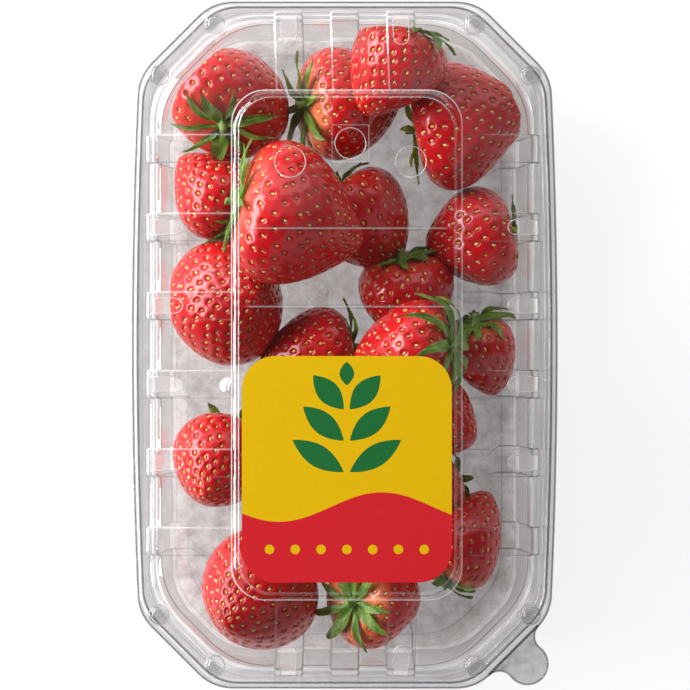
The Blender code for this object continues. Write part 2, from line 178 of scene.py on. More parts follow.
def corner_points(half_x, half_y, cut, radius):
    """The inner points of a cut corner with rounded vertices, from the side at +X to that at +Y."""
    lead = radius * math.tan(math.pi / 8)
    first = []
    for step in range(VERTEX_STEPS + 1):
        turn = math.pi / 4 * step / VERTEX_STEPS
        first.append((radius * (1 - math.cos(turn)), cut + lead - radius * math.sin(turn)))
    insets = first + [(y, x) for x, y in reversed(first)]
    return resampled([(half_x - x, half_y - y) for x, y in insets], CORNER_STEPS)


def resampled(points, steps):
    """The inner points of a line cut into equal steps."""
    line = np.array(points)
    lengths = np.concatenate([[0.0], np.cumsum(np.linalg.norm(np.diff(line, axis=0), axis=1))])
    wanted = np.linspace(0.0, lengths[-1], steps + 1)[1:-1]
    return np.column_stack([np.interp(wanted, lengths, line[:, i]) for i in (0, 1)])


def row(half_x, half_y, z, outline, rib_out=0.0, rib_up=0.0, shift=0.0):
    """One outline as a ring of points, anticlockwise from the long side at +X."""
    cut, radius, bow = outline
    reach = cut + radius * math.tan(math.pi / 8)
    end_y, end_x = half_y - reach, half_x - reach
    half = []
    for y, rib in side_places(LONG_RIBS, end_y):
        swell = bow * (1 - (y / end_y) ** 2)
        half.append((half_x + swell + rib * rib_out, y, z + rib * rib_up))
    corner = corner_points(half_x, half_y, cut, radius)
    half += [(x, y, z) for x, y in corner]
    for x, rib in reversed(side_places(SHORT_RIBS, end_x)):
        half.append((x, half_y + rib * rib_out, z + rib * rib_up))
    half += [(-x, y, z) for x, y in reversed(corner)]
    ring = np.array(half + [(-x, -y, height) for x, y, height in half])
    ring[:, 0] += shift
    return ring


def profile_rows(profile):
    return [
        row(HALF_WIDTH - inset, HALF_LENGTH - inset, height, outline, rib_out, rib_up)
        for inset, height, outline, rib_out, rib_up in profile
    ]


def rounded(rows, marks, bend=BEND, steps=BEND_STEPS):
    """The rows with each bend rounded, as (row, painted shade, painted highlight): a bend's painted lines peak at its
    middle.
    """
    found = [(rows[0], *marks[0])]
    for before, here, after, (dark, painted_highlight) in zip(rows, rows[1:], rows[2:], marks[1:]):
        back = np.linalg.norm(before - here, axis=1).mean()
        ahead = np.linalg.norm(after - here, axis=1).mean()
        start = here + (before - here) * min(0.48, bend / back)
        end = here + (after - here) * min(0.48, bend / ahead)
        for step in range(steps + 1):
            t = step / steps
            peak = max(0.0, 1 - 4 * abs(t - 0.5))
            curve = (1 - t) ** 2 * start + 2 * t * (1 - t) * here + t * t * end
            found.append((curve, dark * peak, painted_highlight * peak))
    return found + [(rows[-1], 0.0, 0.0)]


def painted_flank_lines():
    """For each column of a row, the painted shade and painted highlight line of a rib's flank there, set by which way
    the flank faces the light.
    """

    def marks(places, ribs, lit, far):
        found = []
        for place in places:
            off = min((place - middle for middle in ribs), key=abs)
            peak = 1 - abs(abs(off) - (RIB_HALF - RIB_FLANK / 2)) / (0.5 * RIB_FLANK)
            dark, painted_highlight = lit if off > 0 else far
            found.append((max(peak, 0.0) * dark, max(peak, 0.0) * painted_highlight))
        return found

    along = [place for place, _ in side_places(LONG_RIBS, 2 * LONG_RIBS[-1])]
    across = [place for place, _ in side_places(SHORT_RIBS, 2 * SHORT_RIBS[-1])][::-1]
    corner = [(0.0, 0.0)] * (CORNER_STEPS - 1)
    ring = marks(along, LONG_RIBS, (1.0, 0.1), (1.0, 0.0)) + corner
    ring += marks(across, SHORT_RIBS, (0.7, 0.2), (0.0, 1.0)) + corner
    ring += marks([-place for place in along], LONG_RIBS, (0.0, 1.0), (0.6, 0.3)) + corner
    ring += marks([-place for place in across], SHORT_RIBS, (1.0, 0.0), (0.8, 0.3)) + corner
    return np.array(ring).T


def spread_painted_lines(rows, shares):
    """The painted shade and painted highlight of every point of a loft, with the ribs' lines by a share a row."""
    dark_columns, white_columns = painted_flank_lines()
    shares = np.array(shares)[:, None]
    dark = np.array([row[1] for row in rows])[:, None] + 0.85 * shares * dark_columns
    painted_highlight = np.array([row[2] for row in rows])[:, None] + 0.55 * shares * white_columns
    return np.clip(dark, 0, 1).ravel(), np.clip(painted_highlight, 0, 1).ravel()


def between(first, second, shares):
    return [first + (second - first) * share for share in shares]


def loft(rows, skip=()):
    """Quads between rows, less those whose (row, column) is in skip."""
    count = len(rows[0])
    faces = []
    for level in range(len(rows) - 1):
        for column in range(count):
            if (level, column) in skip:
                continue
            after = (column + 1) % count
            low, high = level * count, (level + 1) * count
            faces.append((low + column, low + after, high + after, high + column))
    return np.concatenate(rows), faces


def cap(ring, loops, lines, shape, holes=()):
    """A flat cap inside a ring, cut along loops and lines; shape gives (z, painted shade, painted highlight) at (x, y).

    Returns points, faces and marks. The faces inside a hole, a (centre, radius), are left out.
    """
    flat = [Vector((x, y)) for x, y, _ in ring]
    edges = [(i, (i + 1) % len(flat)) for i in range(len(flat))]
    for loop in loops:
        start = len(flat)
        flat += [Vector(p) for p in loop]
        edges += [(start + i, start + (i + 1) % len(loop)) for i in range(len(loop))]
    for line in lines:
        start = len(flat)
        flat += [Vector(p) for p in line]
        edges += [(start + i, start + i + 1) for i in range(len(line) - 1)]
    points, _, faces, *_ = delaunay_2d_cdt(flat, edges, [], 1, 1e-7)
    kept = []
    for face in faces:
        middle = sum((points[i] for i in face), Vector((0, 0))) / len(face)
        if any((middle - centre).length < radius for centre, radius in holes):
            continue
        kept.append(tuple(face))
    shaped = [shape(p.x, p.y) for p in points]
    places = [(p.x, p.y, z) for p, (z, _, _) in zip(points, shaped)]
    return places, kept, [dark for _, dark, _ in shaped], [painted_highlight for _, _, painted_highlight in shaped]


def weld(name, parts, materials, nearness=2e-6):
    """Joins (points, faces, slot, painted shade, painted highlight) parts and merges the points that meet."""
    points, faces, slots, dark, painted_highlight = [], [], [], [], []
    for part_points, part_faces, slot, *marks in parts:
        start = len(points)
        points += [tuple(p) for p in part_points]
        faces += [tuple(start + i for i in face) for face in part_faces]
        slots += [slot] * len(part_faces)
        blank = [0.0] * len(part_points)
        dark += list(marks[0]) if marks else blank
        painted_highlight += list(marks[1]) if marks else blank
    made = add_mesh(name, points, faces, materials, slots, {"dark": dark, "painted_highlight": painted_highlight})
    bm = bmesh.new()
    bm.from_mesh(made.data)
    bmesh.ops.remove_doubles(bm, verts=bm.verts[:], dist=nearness)
    bmesh.ops.recalc_face_normals(bm, faces=bm.faces[:])
    bm.to_mesh(made.data)
    bm.free()
    add_thickness(made.data)
    return made


def add_thickness(mesh):
    """Marks how thick the formed sheet is: thick at the flange, thin where it was drawn out."""
    co = np.empty(len(mesh.vertices) * 3)
    mesh.vertices.foreach_get("co", co)
    x, y, z = co.reshape(-1, 3).T
    inset = np.minimum(HALF_WIDTH - abs(x), HALF_LENGTH - abs(y))
    corner = (HALF_WIDTH + HALF_LENGTH - RIM[0] - abs(x) - abs(y)) * math.sqrt(0.5)
    inset = np.minimum(inset, corner)
    flat = np.clip((0.0062 - inset) / 0.0012, 0, 1) * np.clip((z - 0.036) / 0.004, 0, 1)
    flat *= 0.6 + 0.4 * np.clip((0.0018 - inset) / 0.0004, 0, 1)
    layer = mesh.attributes.new("thick", "FLOAT", "POINT")
    layer.data.foreach_set("value", flat.astype(np.float32))


def open_loops(mesh):
    """The loops of open edges of a mesh, each as an ordered array of points."""
    bm = bmesh.new()
    bm.from_mesh(mesh)
    after = {}
    for edge in bm.edges:
        if len(edge.link_faces) == 1:
            first, second = edge.verts
            after.setdefault(first.index, []).append(second.index)
            after.setdefault(second.index, []).append(first.index)
    places = {v.index: np.array(v.co) for v in bm.verts}
    bm.free()
    loops, seen = [], set()
    for start in sorted(after):
        if start in seen:
            continue
        loop, at = [], start
        while at is not None:
            seen.add(at)
            loop.append(places[at])
            at = next((i for i in after[at] if i not in seen), None)
        loops.append(np.array(loop))
    return loops


def tube(loop, radius, sides=6):
    """A closed tube along a loop of points."""
    before, ahead = np.roll(loop, 1, axis=0), np.roll(loop, -1, axis=0)
    way = ahead - before
    way /= np.maximum(np.linalg.norm(way, axis=1), 1e-9)[:, None]
    side = np.cross(way, [0.0, 0.0, 1.0])
    side /= np.maximum(np.linalg.norm(side, axis=1), 1e-9)[:, None]
    up = np.cross(side, way)
    turns = 2 * math.pi * np.arange(sides) / sides
    rings = [loop + radius * (math.cos(t) * side + math.sin(t) * up) for t in turns]
    points = np.stack(rings, axis=1).reshape(-1, 3)
    faces = []
    for i in range(len(loop)):
        following = (i + 1) % len(loop)
        for k in range(sides):
            after = (k + 1) % sides
            faces.append(
                (i * sides + k, i * sides + after, following * sides + after, following * sides + k)
            )
    return points, faces


def circle(x, y, radius, count):
    turns = [2 * math.pi * i / count for i in range(count)]
    return [(x + radius * math.cos(t), y + radius * math.sin(t)) for t in turns]


# Tray

PIP_RADIUS = 0.0035
PIP_HEIGHT = 0.0012
FLOOR_SHADE_BASE = 0.38
FLOOR_SHADE_RISE = 6.5
PIP_PLACES = [(x, y) for x in (-0.0300, -0.0077, 0.0146, 0.0350) for y in (-0.066, -0.039, -0.012, 0.015, 0.042, 0.069)]


def painted_floor_shade(x):
    """Painted shade on the tray's floor, for the shadow on the floor that shows through it: more so away from the
    light.
    """
    return FLOOR_SHADE_BASE + FLOOR_SHADE_RISE * x


def build_tray(material, rolled):
    rows = rounded(profile_rows(TRAY_PROFILE), TRAY_PAINTED_BEND_LINES)
    points, faces = loft([ring for ring, _, _ in rows])
    shares = [smooth((FLANGE_TOP - ring[:, 2].mean()) / 0.002) * 0.6 for ring, _, _ in rows]
    marks = list(spread_painted_lines(rows, shares))
    x, y, z = points.T
    # Painted shade: the walls and flange darker away from the light, to the right and bottom, the whole flange a little
    # darker, and the foot darker with the floor's painted shade
    far = np.clip(1.2 * x / HALF_WIDTH - 0.3 * y / HALF_LENGTH, 0, 1)
    wall = np.clip((z - 0.003) / 0.004, 0, 1) * np.clip((0.0440 - z) / 0.002, 0, 1)
    flange = np.clip((z - 0.0440) / 0.0005, 0, 1)
    foot = np.clip((0.0040 - z) / 0.0030, 0, 1)
    marks[0] = np.clip(marks[0] + far * (0.52 * wall + 0.20 * flange) + 0.05 * flange + painted_floor_shade(x) * foot, 0, 1)
    pips = [(x, y) for x, y in PIP_PLACES if abs(x) + abs(y) < 0.1]
    loops = [circle(x, y, PIP_RADIUS * s, 20) for x, y in pips for s in (1.0, 0.9, 0.8)]

    # The pips' rims get a painted highlight line, and the floor its painted shade
    def shape(x, y):
        near = min(math.dist((x, y), p) for p in pips) / PIP_RADIUS
        ridge = max(0.0, 1 - abs(near - 0.9) / 0.1)
        return SHEET + PIP_HEIGHT * smooth((1.02 - near) / 0.2), painted_floor_shade(x), 0.35 * ridge

    floor_points, floor_faces, *floor_marks = cap(rows[-1][0], loops, [], shape)
    parts = [(points, faces, 0, *marks), (floor_points, floor_faces, 0, *floor_marks)]
    made = weld("tray_shell", parts, [material])
    return made, add_rims("tray_rim", made, (rolled,))


# Lid

SLOT_END = 0.0130
SLOT_SHARE = 0.66
SHOULDER_INSETS = (0.0085, 0.0105, SLOT_END, 0.0150, 0.0180, 0.0215)
CREASES = [-0.0331, -0.0112, 0.0104, 0.0317]
CREASE_HALF = 0.00035
CREASE_UP = 0.00020


SQUARE_X = 0.0016
SQUARE_Y = 0.0548
SQUARE_HALF = 0.0050
SQUARE_LINE = 0.00025


def square(half):
    """The outline of the shallow square round the middle vent, with small round corners."""
    return rounded_box(SQUARE_X - half, SQUARE_X + half, SQUARE_Y - half, SQUARE_Y + half, 0.0004, 3)


def panel_rows():
    """The lid's shoulder where it meets the panel, and the panel's step."""
    corner = (PANEL_CORNER / (1 + math.sqrt(0.5)), PANEL_CORNER, 0.0)
    rows = [row(PANEL_HALF_X, PANEL_HALF_Y, PANEL_FOOT, corner, 0.0, PANEL_RIB_UP, PANEL_SHIFT)]
    for inset, height in PANEL_STEPS:
        half_x, half_y = PANEL_HALF_X - inset, PANEL_HALF_Y - inset
        rows.append(row(half_x, half_y, height, corner, shift=PANEL_SHIFT))
    return rows


def keep_off_buttons(rows):
    """Pushes the dome's wall away from the corner buttons, which leaves a hollow round each."""
    for ring in rows:
        for side_x in (1, -1):
            for side_y in (1, -1):
                for x, y in BUTTON_PLACES:
                    away = ring[:, :2] - (side_x * x, side_y * y)
                    far = np.linalg.norm(away, axis=1)
                    close = (far < BUTTON_CLEAR) & (far > 0)
                    pushed = away[close] / far[close, None] * BUTTON_CLEAR
                    ring[close, :2] = (side_x * x, side_y * y) + pushed


def slot_columns(ring):
    """The columns inside each vent slot, as (column, place across the slot)."""
    found = []
    for column, (x, y, _) in enumerate(ring):
        if abs(x) > 0.045:
            near = min((y - rib for rib in LONG_RIBS[1:5]), key=abs)
        elif abs(y) > 0.080:
            near = min((x - rib for rib in (SHORT_RIBS[0], SHORT_RIBS[2])), key=abs)
        else:
            continue
        if abs(near) < SLOT_HALF + 1e-6:
            found.append((column, near))
    return found


def build_lid(material, frosted, rolled, cut_edge):
    keys = profile_rows(LID_PROFILE)
    keep_off_buttons(keys[6:])
    foot = panel_rows()
    rows = rounded(keys + foot, LID_PAINTED_BEND_LINES + PANEL_PAINTED_BEND_LINES)
    wall_low, wall_high, crest = keys[6:9]
    slot_row = wall_low + (wall_high - wall_low) * SLOT_SHARE
    heights = [ring[:, 2].mean() for ring, _, _ in rows]
    first = next(i for i, z in enumerate(heights) if i > 30 and z > slot_row[:, 2].mean())
    rows.insert(first, (slot_row, 0.0, 0.0))
    heights.insert(first, slot_row[:, 2].mean())
    shoulder = next(i for i, z in enumerate(heights) if z > crest[:, 2].mean() + 0.0002)
    while rows[shoulder][1] > 0:
        shoulder += 1
    crest_inset = LID_PROFILE[-1][0]
    last_inset = HALF_WIDTH - PANEL_HALF_X
    shares = [(inset - crest_inset) / (last_inset - crest_inset) for inset in SHOULDER_INSETS]
    middle_rows = between(crest, foot[0], shares)
    columns = slot_columns(rows[0][0])
    across = {column: place for column, place in columns}
    slot_level = SHOULDER_INSETS.index(SLOT_END)
    ring, before = middle_rows[slot_level], middle_rows[slot_level - 1]
    step = SLOT_END - SHOULDER_INSETS[slot_level - 1]
    for column, place in columns:
        back = SLOT_HALF - math.sqrt(max(0.0, SLOT_HALF**2 - place**2))
        ring[column] += (before[column] - ring[column]) * min(0.85, back / step)
    rows[shoulder:shoulder] = [(middle_row, 0.0, 0.0) for middle_row in middle_rows]
    last = shoulder + slot_level
    count = len(ring)
    skip = {
        (level, column)
        for level in range(first, last)
        for column in across
        if (column + 1) % count in across
        if abs(across[(column + 1) % count] - across[column]) < SLOT_HALF
    }
    points, faces = loft([ring for ring, _, _ in rows], skip)
    levels = [ring[:, 2].mean() for ring, _, _ in rows]
    ends = (wall_low[:, 2].mean(), foot[0][:, 2].mean())
    crest_z = crest[:, 2].mean()
    # How strongly each row carries the ribs' painted shade and painted highlight lines
    shares = [0.9 if ends[0] < z < crest_z else 0.2 * (z < ends[0]) for z in levels]
    for i, z in enumerate(levels):
        if crest_z <= z < ends[1] + 0.0001:
            shares[i] = 0.56 + 0.18 * (1 - smooth((z - crest_z) / 0.0012))
    marks = spread_painted_lines(rows, shares)
    vents = [(Vector(p), VENT_RADIUS) for p in VENTS]
    loops = [circle(x, y, VENT_RADIUS, 48) for x, y in VENTS]
    loops += [circle(x, y, VENT_RADIUS + 0.0006, 48) for x, y in VENTS]
    loops += [square(SQUARE_HALF + out) for out in (-SQUARE_LINE, 0.0, SQUARE_LINE)]
    lines = []
    reach = PANEL_HALF_X - PANEL_STEPS[-1][0] - 0.0006
    for crease in CREASES:
        for offset in (-2.0, -1.0, 0.0, 1.0, 2.0):
            y = crease + offset * CREASE_HALF
            lines.append([(PANEL_SHIFT + reach * math.sin(math.pi * (i / 12 - 1) / 2), y) for i in range(25)])

    # The creases and the square's outline get painted highlight lines and the creases' sides painted shade, for the
    # light their small bends catch and refract
    def shape(x, y):
        off = min(abs(y - crease) for crease in CREASES) / CREASE_HALF
        edge = smooth((reach - abs(x - PANEL_SHIFT)) / 0.002)
        line = max(0.0, 1 - off) * edge
        lip = min(math.dist((x, y), p) for p in VENTS)
        far = max(abs(x - SQUARE_X), abs(y - SQUARE_Y)) - SQUARE_HALF
        inner = smooth(-far / SQUARE_LINE)
        ridge = max(0.0, 1 - abs(far) / SQUARE_LINE)
        z = PANEL_TOP + CREASE_UP * line - 0.0003 * (lip < VENT_RADIUS + 0.0001) - 0.0001 * inner
        return z, 0.45 * max(0.0, 1 - abs(off - 1)) * edge, 0.34 * line + 0.30 * ridge

    top_points, top_faces, *top_marks = cap(rows[-1][0], loops, lines, shape, vents)
    parts = [(points, faces, 0, *marks), (top_points, top_faces, 0, *top_marks)]
    for side_x in (1, -1):
        for side_y in (1, -1):
            parts += [button(side_x * x, side_y * y) for x, y in BUTTON_PLACES]
    parts.append(pull_tab())
    made = weld("lid_shell", parts, [material, frosted])
    return made, add_rims("lid_rims", made, (rolled, cut_edge))


HOLE_SIZE = 0.015
LIP_TUBE = 0.00028
CUT_TUBE = 0.00013


def add_rims(name, sheet, materials):
    """The rolled outer lip and the cut rims of the holes of a sheet, as thin tubes."""
    points, faces, slots = [], [], []
    for loop in open_loops(sheet.data):
        span = np.ptp(loop, axis=0).max()
        if len(loop) < 8 or 0.02 < span < 0.1:
            continue
        hole = span < HOLE_SIZE
        ring, ring_faces = tube(loop, CUT_TUBE if hole else LIP_TUBE)
        start = sum(len(p) for p in points)
        points.append(ring)
        faces += [tuple(start + i for i in face) for face in ring_faces]
        slots += [1 if hole else 0] * len(ring_faces)
    return add_mesh(name, np.concatenate(points), faces, materials, slots)


def button(x, y):
    """A round hollow knob on the flange, with a flattened top."""
    profile = [(1.25, 0.02), (1.05, 0.1), (1.0, 0.45), (0.9, 0.8), (0.7, 0.97), (0.4, 1.0)]
    points = []
    for radius, lift in profile:
        for px, py in circle(x, y, radius * BUTTON_RADIUS, 20):
            points.append((px, py, LID_FLANGE + lift * BUTTON_HEIGHT))
    points.append((x, y, LID_FLANGE + 0.92 * BUTTON_HEIGHT))
    faces = []
    for level in range(len(profile) - 1):
        for i in range(20):
            after = (i + 1) % 20
            low, high = level * 20, (level + 1) * 20
            faces.append((low + i, low + after, high + after, high + i))
    top = (len(profile) - 1) * 20
    faces += [(top + i, top + (i + 1) % 20, top + 20) for i in range(20)]
    return points, faces, 0


def arc(centre_x, centre_y, radius, start, end, steps):
    turns = [math.radians(start + (end - start) * i / steps) for i in range(steps + 1)]
    return [(centre_x + radius * math.cos(t), centre_y + radius * math.sin(t)) for t in turns]


def pull_tab():
    """The frosted pull tab: a thin tongue with a round end and fine ribs across its neck."""
    spread = math.sqrt((TAB_RADIUS + TAB_FILLET) ** 2 - (TAB_REACH - TAB_FILLET) ** 2)
    lean = math.degrees(math.atan2(TAB_REACH - TAB_FILLET, spread))
    right = arc(spread, TAB_FILLET, TAB_FILLET, 270, 180 - lean, 12)
    bulb = arc(0.0, TAB_REACH, TAB_RADIUS, -lean, 180 + lean, 40)[1:-1]
    left = [(-x, y) for x, y in reversed(right)]
    outline = [(spread, -0.0003)] + right + bulb + left + [(-spread, -0.0003)]
    inner = [(x * 0.0006, y * 0.0003) for x in range(-9, 10) for y in range(0, 14)]
    flat = [Vector(p) for p in outline]
    edges = [(i, (i + 1) % len(flat)) for i in range(len(flat))]
    found, _, faces, *_ = delaunay_2d_cdt(flat + [Vector(p) for p in inner], edges, [], 1, 1e-7)
    middle = Vector((HALF_WIDTH - RIM[0] / 2, -(HALF_LENGTH - RIM[0] / 2)))
    turn = Matrix.Rotation(math.radians(-135), 2)
    points = []
    for p in found:
        ripple = 0.00005 * math.cos(2 * math.pi * p.y / 0.0006) * (p.y < 0.004)
        place = turn @ p + middle
        points.append((place.x, place.y, TAB_Z + SHEET / 2 + ripple))
    return points, [tuple(f) for f in faces], 1


# Strawberries: x and y of the middle, height of the lowest point, length, width and height across,
# heading and rise of the calyx in degrees, roll, taper, leaves, leaf length and stem length
BERRIES = [
    (-0.0314, 0.0690, 0.0010, 0.030, 0.0355, 0.030, 253, 50, 0, 0.28, 9, 0.0115, 0.002),
    (-0.0365, 0.0429, 0.0010, 0.025, 0.025, 0.024, -50, 15, 10, 0.30, 8, 0.0095, 0.003),
    (-0.0135, 0.0347, 0.0230, 0.036, 0.0395, 0.031, 163, 12, 12, 0.36, 9, 0.0125, 0.004),
    (0.0049, 0.0352, 0.0010, 0.029, 0.029, 0.027, 125, 5, 0, 0.30, 7, 0.0100, 0.003),
    (0.0009, 0.0683, 0.0010, 0.030, 0.032, 0.028, 188, 22, 0, 0.26, 8, 0.0125, 0.003),
    (0.0138, 0.0768, 0.0235, 0.029, 0.027, 0.026, 58, 10, 0, 0.32, 8, 0.0100, 0.003),
    (0.0342, 0.0625, 0.0040, 0.034, 0.0365, 0.031, 191, -8, 0, 0.46, 7, 0.0100, 0.003),
    (0.0364, 0.0298, 0.0010, 0.026, 0.0285, 0.026, 12, 5, 0, 0.20, 7, 0.0090, 0.002),
    (-0.0317, 0.0121, 0.0010, 0.033, 0.0350, 0.0335, 200, -60, 0, 0.28, 7, 0.0100, 0.003),
    (0.0170, 0.0134, 0.0010, 0.026, 0.027, 0.026, 95, 18, 0, 0.28, 8, 0.0095, 0.003),
    (0.0173, -0.0020, 0.0240, 0.030, 0.027, 0.026, 6, 22, 0, 0.34, 9, 0.0150, 0.003),
    (0.0390, -0.0030, 0.0010, 0.023, 0.019, 0.020, 105, 24, 0, 0.26, 8, 0.0100, 0.003),
    (-0.0092, -0.0022, 0.0010, 0.026, 0.025, 0.024, 10, -5, 0, 0.30, 7, 0.0095, 0.003),
    (-0.0355, -0.0332, 0.0010, 0.0275, 0.0275, 0.027, 70, -50, 0, 0.28, 7, 0.0090, 0.003),
    (-0.0248, -0.0697, 0.0010, 0.0325, 0.034, 0.0325, 40, -55, 0, 0.28, 7, 0.0100, 0.003),
    (0.0090, -0.0706, 0.0010, 0.028, 0.027, 0.026, 188, 54, 0, 0.30, 9, 0.0120, 0.003),
    (0.0331, -0.0545, 0.0010, 0.0285, 0.0235, 0.0225, 242, 12, 0, 0.28, 8, 0.0100, 0.003),
    (0.0248, -0.0198, 0.0010, 0.026, 0.025, 0.025, 150, -30, 0, 0.28, 7, 0.0095, 0.003),
    (0.0225, -0.0405, 0.0010, 0.022, 0.020, 0.020, 20, -25, 0, 0.28, 7, 0.0085, 0.003),
    (-0.0090, -0.0280, 0.0010, 0.028, 0.028, 0.027, 100, 20, 0, 0.28, 8, 0.0100, 0.003),
    (0.0000, -0.0500, 0.0010, 0.026, 0.026, 0.025, 300, 15, 0, 0.28, 8, 0.0100, 0.003),
    (0.0070, -0.0310, 0.0260, 0.027, 0.026, 0.025, 30, 25, 0, 0.28, 8, 0.0100, 0.003),
]
SEED_SPACING = 0.0034
PIT_LONG = 0.00105
PIT_WIDE = 0.00080
PIT_DEEP = 0.00052
SEED_LONG = 0.00064
SEED_WIDE = 0.00040
SEED_TALL = 0.00034
# How pale each berry is round its calyx, where it isn't the usual share
PALE = {4: 1.0, 8: 0.5, 11: 0.8, 15: 1.0, 16: 0.8}
USUAL_PALE = 0.2
PIT_RINGS = [(0.28, 5), (0.62, 8), (1.0, 10), (1.4, 10)]
GOLDEN = math.pi * (3 - math.sqrt(5))


def berry_place(x, y, z, heading, rise, roll):
    """The frame of a berry: its own +Z points at the calyx."""
    turn, lift = math.radians(heading), math.radians(rise)
    up = Vector((math.cos(turn) * math.cos(lift), math.sin(turn) * math.cos(lift), math.sin(lift)))
    level = Vector((-math.sin(turn), math.cos(turn), 0.0))
    third = up.cross(level)
    rotation = Matrix((level, third, up)).transposed().to_4x4()
    return Matrix.Translation((x, y, z)) @ rotation @ Matrix.Rotation(math.radians(roll), 4, "Z")


def spiral(count, draw, jitter):
    """Directions spread evenly over a sphere, each moved a little at random."""
    index = np.arange(count) + 0.5
    z = 1 - 2 * index / count
    turn = index * GOLDEN
    flat = np.sqrt(1 - z * z)
    found = np.column_stack([flat * np.cos(turn), flat * np.sin(turn), z])
    found += draw.normal(0.0, jitter / math.sqrt(count), found.shape)
    return found / np.linalg.norm(found, axis=1)[:, None]


class Skin:
    """The smooth skin of one berry, as a function of direction from its middle."""

    def __init__(self, length, width, height, taper, number):
        self.size = np.array([width, height, length]) / 2
        self.taper = taper
        rng = np.random.default_rng(number + 40)
        self.waves = rng.normal(0.0, 1.0, (5, 3)) * np.array([[1.6]] * 3 + [[3.2]] * 2)
        self.phases = rng.uniform(0, 2 * math.pi, 5)
        self.swells = np.array([0.026, 0.022, 0.018, 0.010, 0.008])

    def at(self, directions):
        d = directions / np.linalg.norm(directions, axis=1)[:, None]
        z = d[:, 2]
        narrow = (1 + self.taper * z) / (1 + 0.5 * self.taper**2)
        lumps = 1 + (np.sin(d @ self.waves.T + self.phases) * self.swells).sum(axis=1)
        crown = 1 - 0.16 * np.exp(-((1 - z) / 0.10))
        point = 1 + 0.10 * np.clip(-z, 0, 1) ** 6
        found = d * self.size * lumps[:, None]
        found[:, :2] *= narrow[:, None]
        found[:, 2] *= crown * point
        return found

    def frames(self, directions):
        """The skin's point, normal, way to the tip and way round at each direction."""
        d = directions / np.linalg.norm(directions, axis=1)[:, None]
        round_way = np.cross(np.array([0.0, 0.0, 1.0]), d)
        size = np.linalg.norm(round_way, axis=1)[:, None]
        round_way = round_way / np.maximum(size, 1e-6)
        tip_way = np.cross(round_way, d)
        small = 1e-3
        here = self.at(d)
        along = (self.at(d + small * tip_way) - here) / small
        across = (self.at(d + small * round_way) - here) / small
        normal = np.cross(across, along)
        normal /= np.linalg.norm(normal, axis=1)[:, None]
        normal *= np.sign((normal * here).sum(axis=1))[:, None]
        return here, normal, tip_way, round_way, along, across


def pit_depth(far):
    """How deep the skin lies at a share of the pit's radius: a bowl with a swollen rim."""
    bowl = np.where(far < 1.25, (1 - (far / 1.25) ** 2) ** 2, 0.0)
    rim = 0.14 * np.exp(-(((far - 1.45) / 0.35) ** 2))
    return PIT_DEEP * (bowl - rim)


def flesh(skin, number):
    """The dimpled skin as (points, triangles, pit share), and the frames of its seeds."""
    rng = np.random.default_rng(number + 7)
    area = 4 * math.pi * (skin.size.prod()) ** (2 / 3)
    spacing = SEED_SPACING * rng.uniform(0.94, 1.16)
    count = int(area / (0.866 * spacing**2))
    seeds = spiral(count, rng, 0.35)
    seeds = seeds[seeds[:, 2] < 0.90]
    here, normal, tip_way, round_way, along, across = skin.frames(seeds)
    long_scale = np.linalg.norm(along, axis=1)
    wide_scale = np.linalg.norm(across, axis=1)
    grown = rng.uniform(0.85, 1.15, len(seeds))
    directions, depths = [], []
    for far, ring in PIT_RINGS:
        offset = rng.uniform(0, 2 * math.pi, len(seeds))
        for i in range(ring):
            turn = 2 * math.pi * i / ring + offset
            a = far * PIT_LONG * grown * np.cos(turn) / long_scale
            b = far * PIT_WIDE * grown * np.sin(turn) / wide_scale
            moved = seeds + a[:, None] * tip_way + b[:, None] * round_way
            directions.append(moved / np.linalg.norm(moved, axis=1)[:, None])
            depths.append(np.full(len(seeds), far))
    fill = spiral(int(area / (0.866 * 0.0011**2)), rng, 0.3)
    gap = 1.75 * PIT_LONG / math.sqrt(area / (4 * math.pi))
    nearest = np.max(fill @ seeds.T, axis=1)
    fill = fill[nearest < math.cos(gap)]
    ring_dirs = np.concatenate(directions)
    far = np.concatenate([np.concatenate(depths), np.full(len(fill), 3.0)])
    every = np.concatenate([ring_dirs, fill])
    bm = bmesh.new()
    for d in every:
        bm.verts.new(d)
    bmesh.ops.convex_hull(bm, input=bm.verts[:])
    bm.verts.index_update()
    triangles = [tuple(v.index for v in f.verts) for f in bm.faces]
    bm.free()
    place, out, *_ = skin.frames(every)
    points = place - out * pit_depth(far)[:, None]
    return points, triangles, np.exp(-((far / 0.9) ** 2)), (here, normal, tip_way, round_way)


def seed_mesh(frames, rng):
    """Every seed of a berry: a teardrop that lies in its pit with its point towards the calyx."""
    here, normal, tip_way, round_way = frames
    count = 8
    turns = 2 * math.pi * np.arange(count) / count
    pinch = 1 - 0.35 * (0.5 + 0.5 * np.cos(turns - math.pi)) ** 2
    outline = np.column_stack([SEED_LONG * np.cos(turns), SEED_WIDE * np.sin(turns) * pinch])
    levels = [(0.75, -0.25), (1.0, 0.35), (0.62, 0.85)]
    template = [(a * s, b * s, SEED_TALL * h) for s, h in levels for a, b in outline]
    template = np.array(template + [(0.0, 0.0, SEED_TALL)])
    faces = []
    for level in range(2):
        for i in range(count):
            after = (i + 1) % count
            low, high = level * count, (level + 1) * count
            faces.append((low + i, low + after, high + after, high + i))
    faces += [(2 * count + i, 2 * count + (i + 1) % count, 3 * count) for i in range(count)]
    points, every, tones = [], [], []
    for i in range(len(here)):
        lean = rng.normal(0.0, 0.22)
        c, s = math.cos(lean), math.sin(lean)
        first = c * tip_way[i] + s * round_way[i]
        first -= normal[i] * (first @ normal[i])
        first /= np.linalg.norm(first)
        second = np.cross(normal[i], first)
        size = rng.uniform(0.82, 1.15)
        base = here[i] - normal[i] * (PIT_DEEP * 0.86)
        start = len(points) * len(template)
        p = base + size * (
            template[:, :1] * first + template[:, 1:2] * second + template[:, 2:] * normal[i]
        )
        points.append(p)
        every += [tuple(start + k for k in face) for face in faces]
        tones += [rng.uniform(0, 1)] * len(template)
    return np.concatenate(points), every, tones


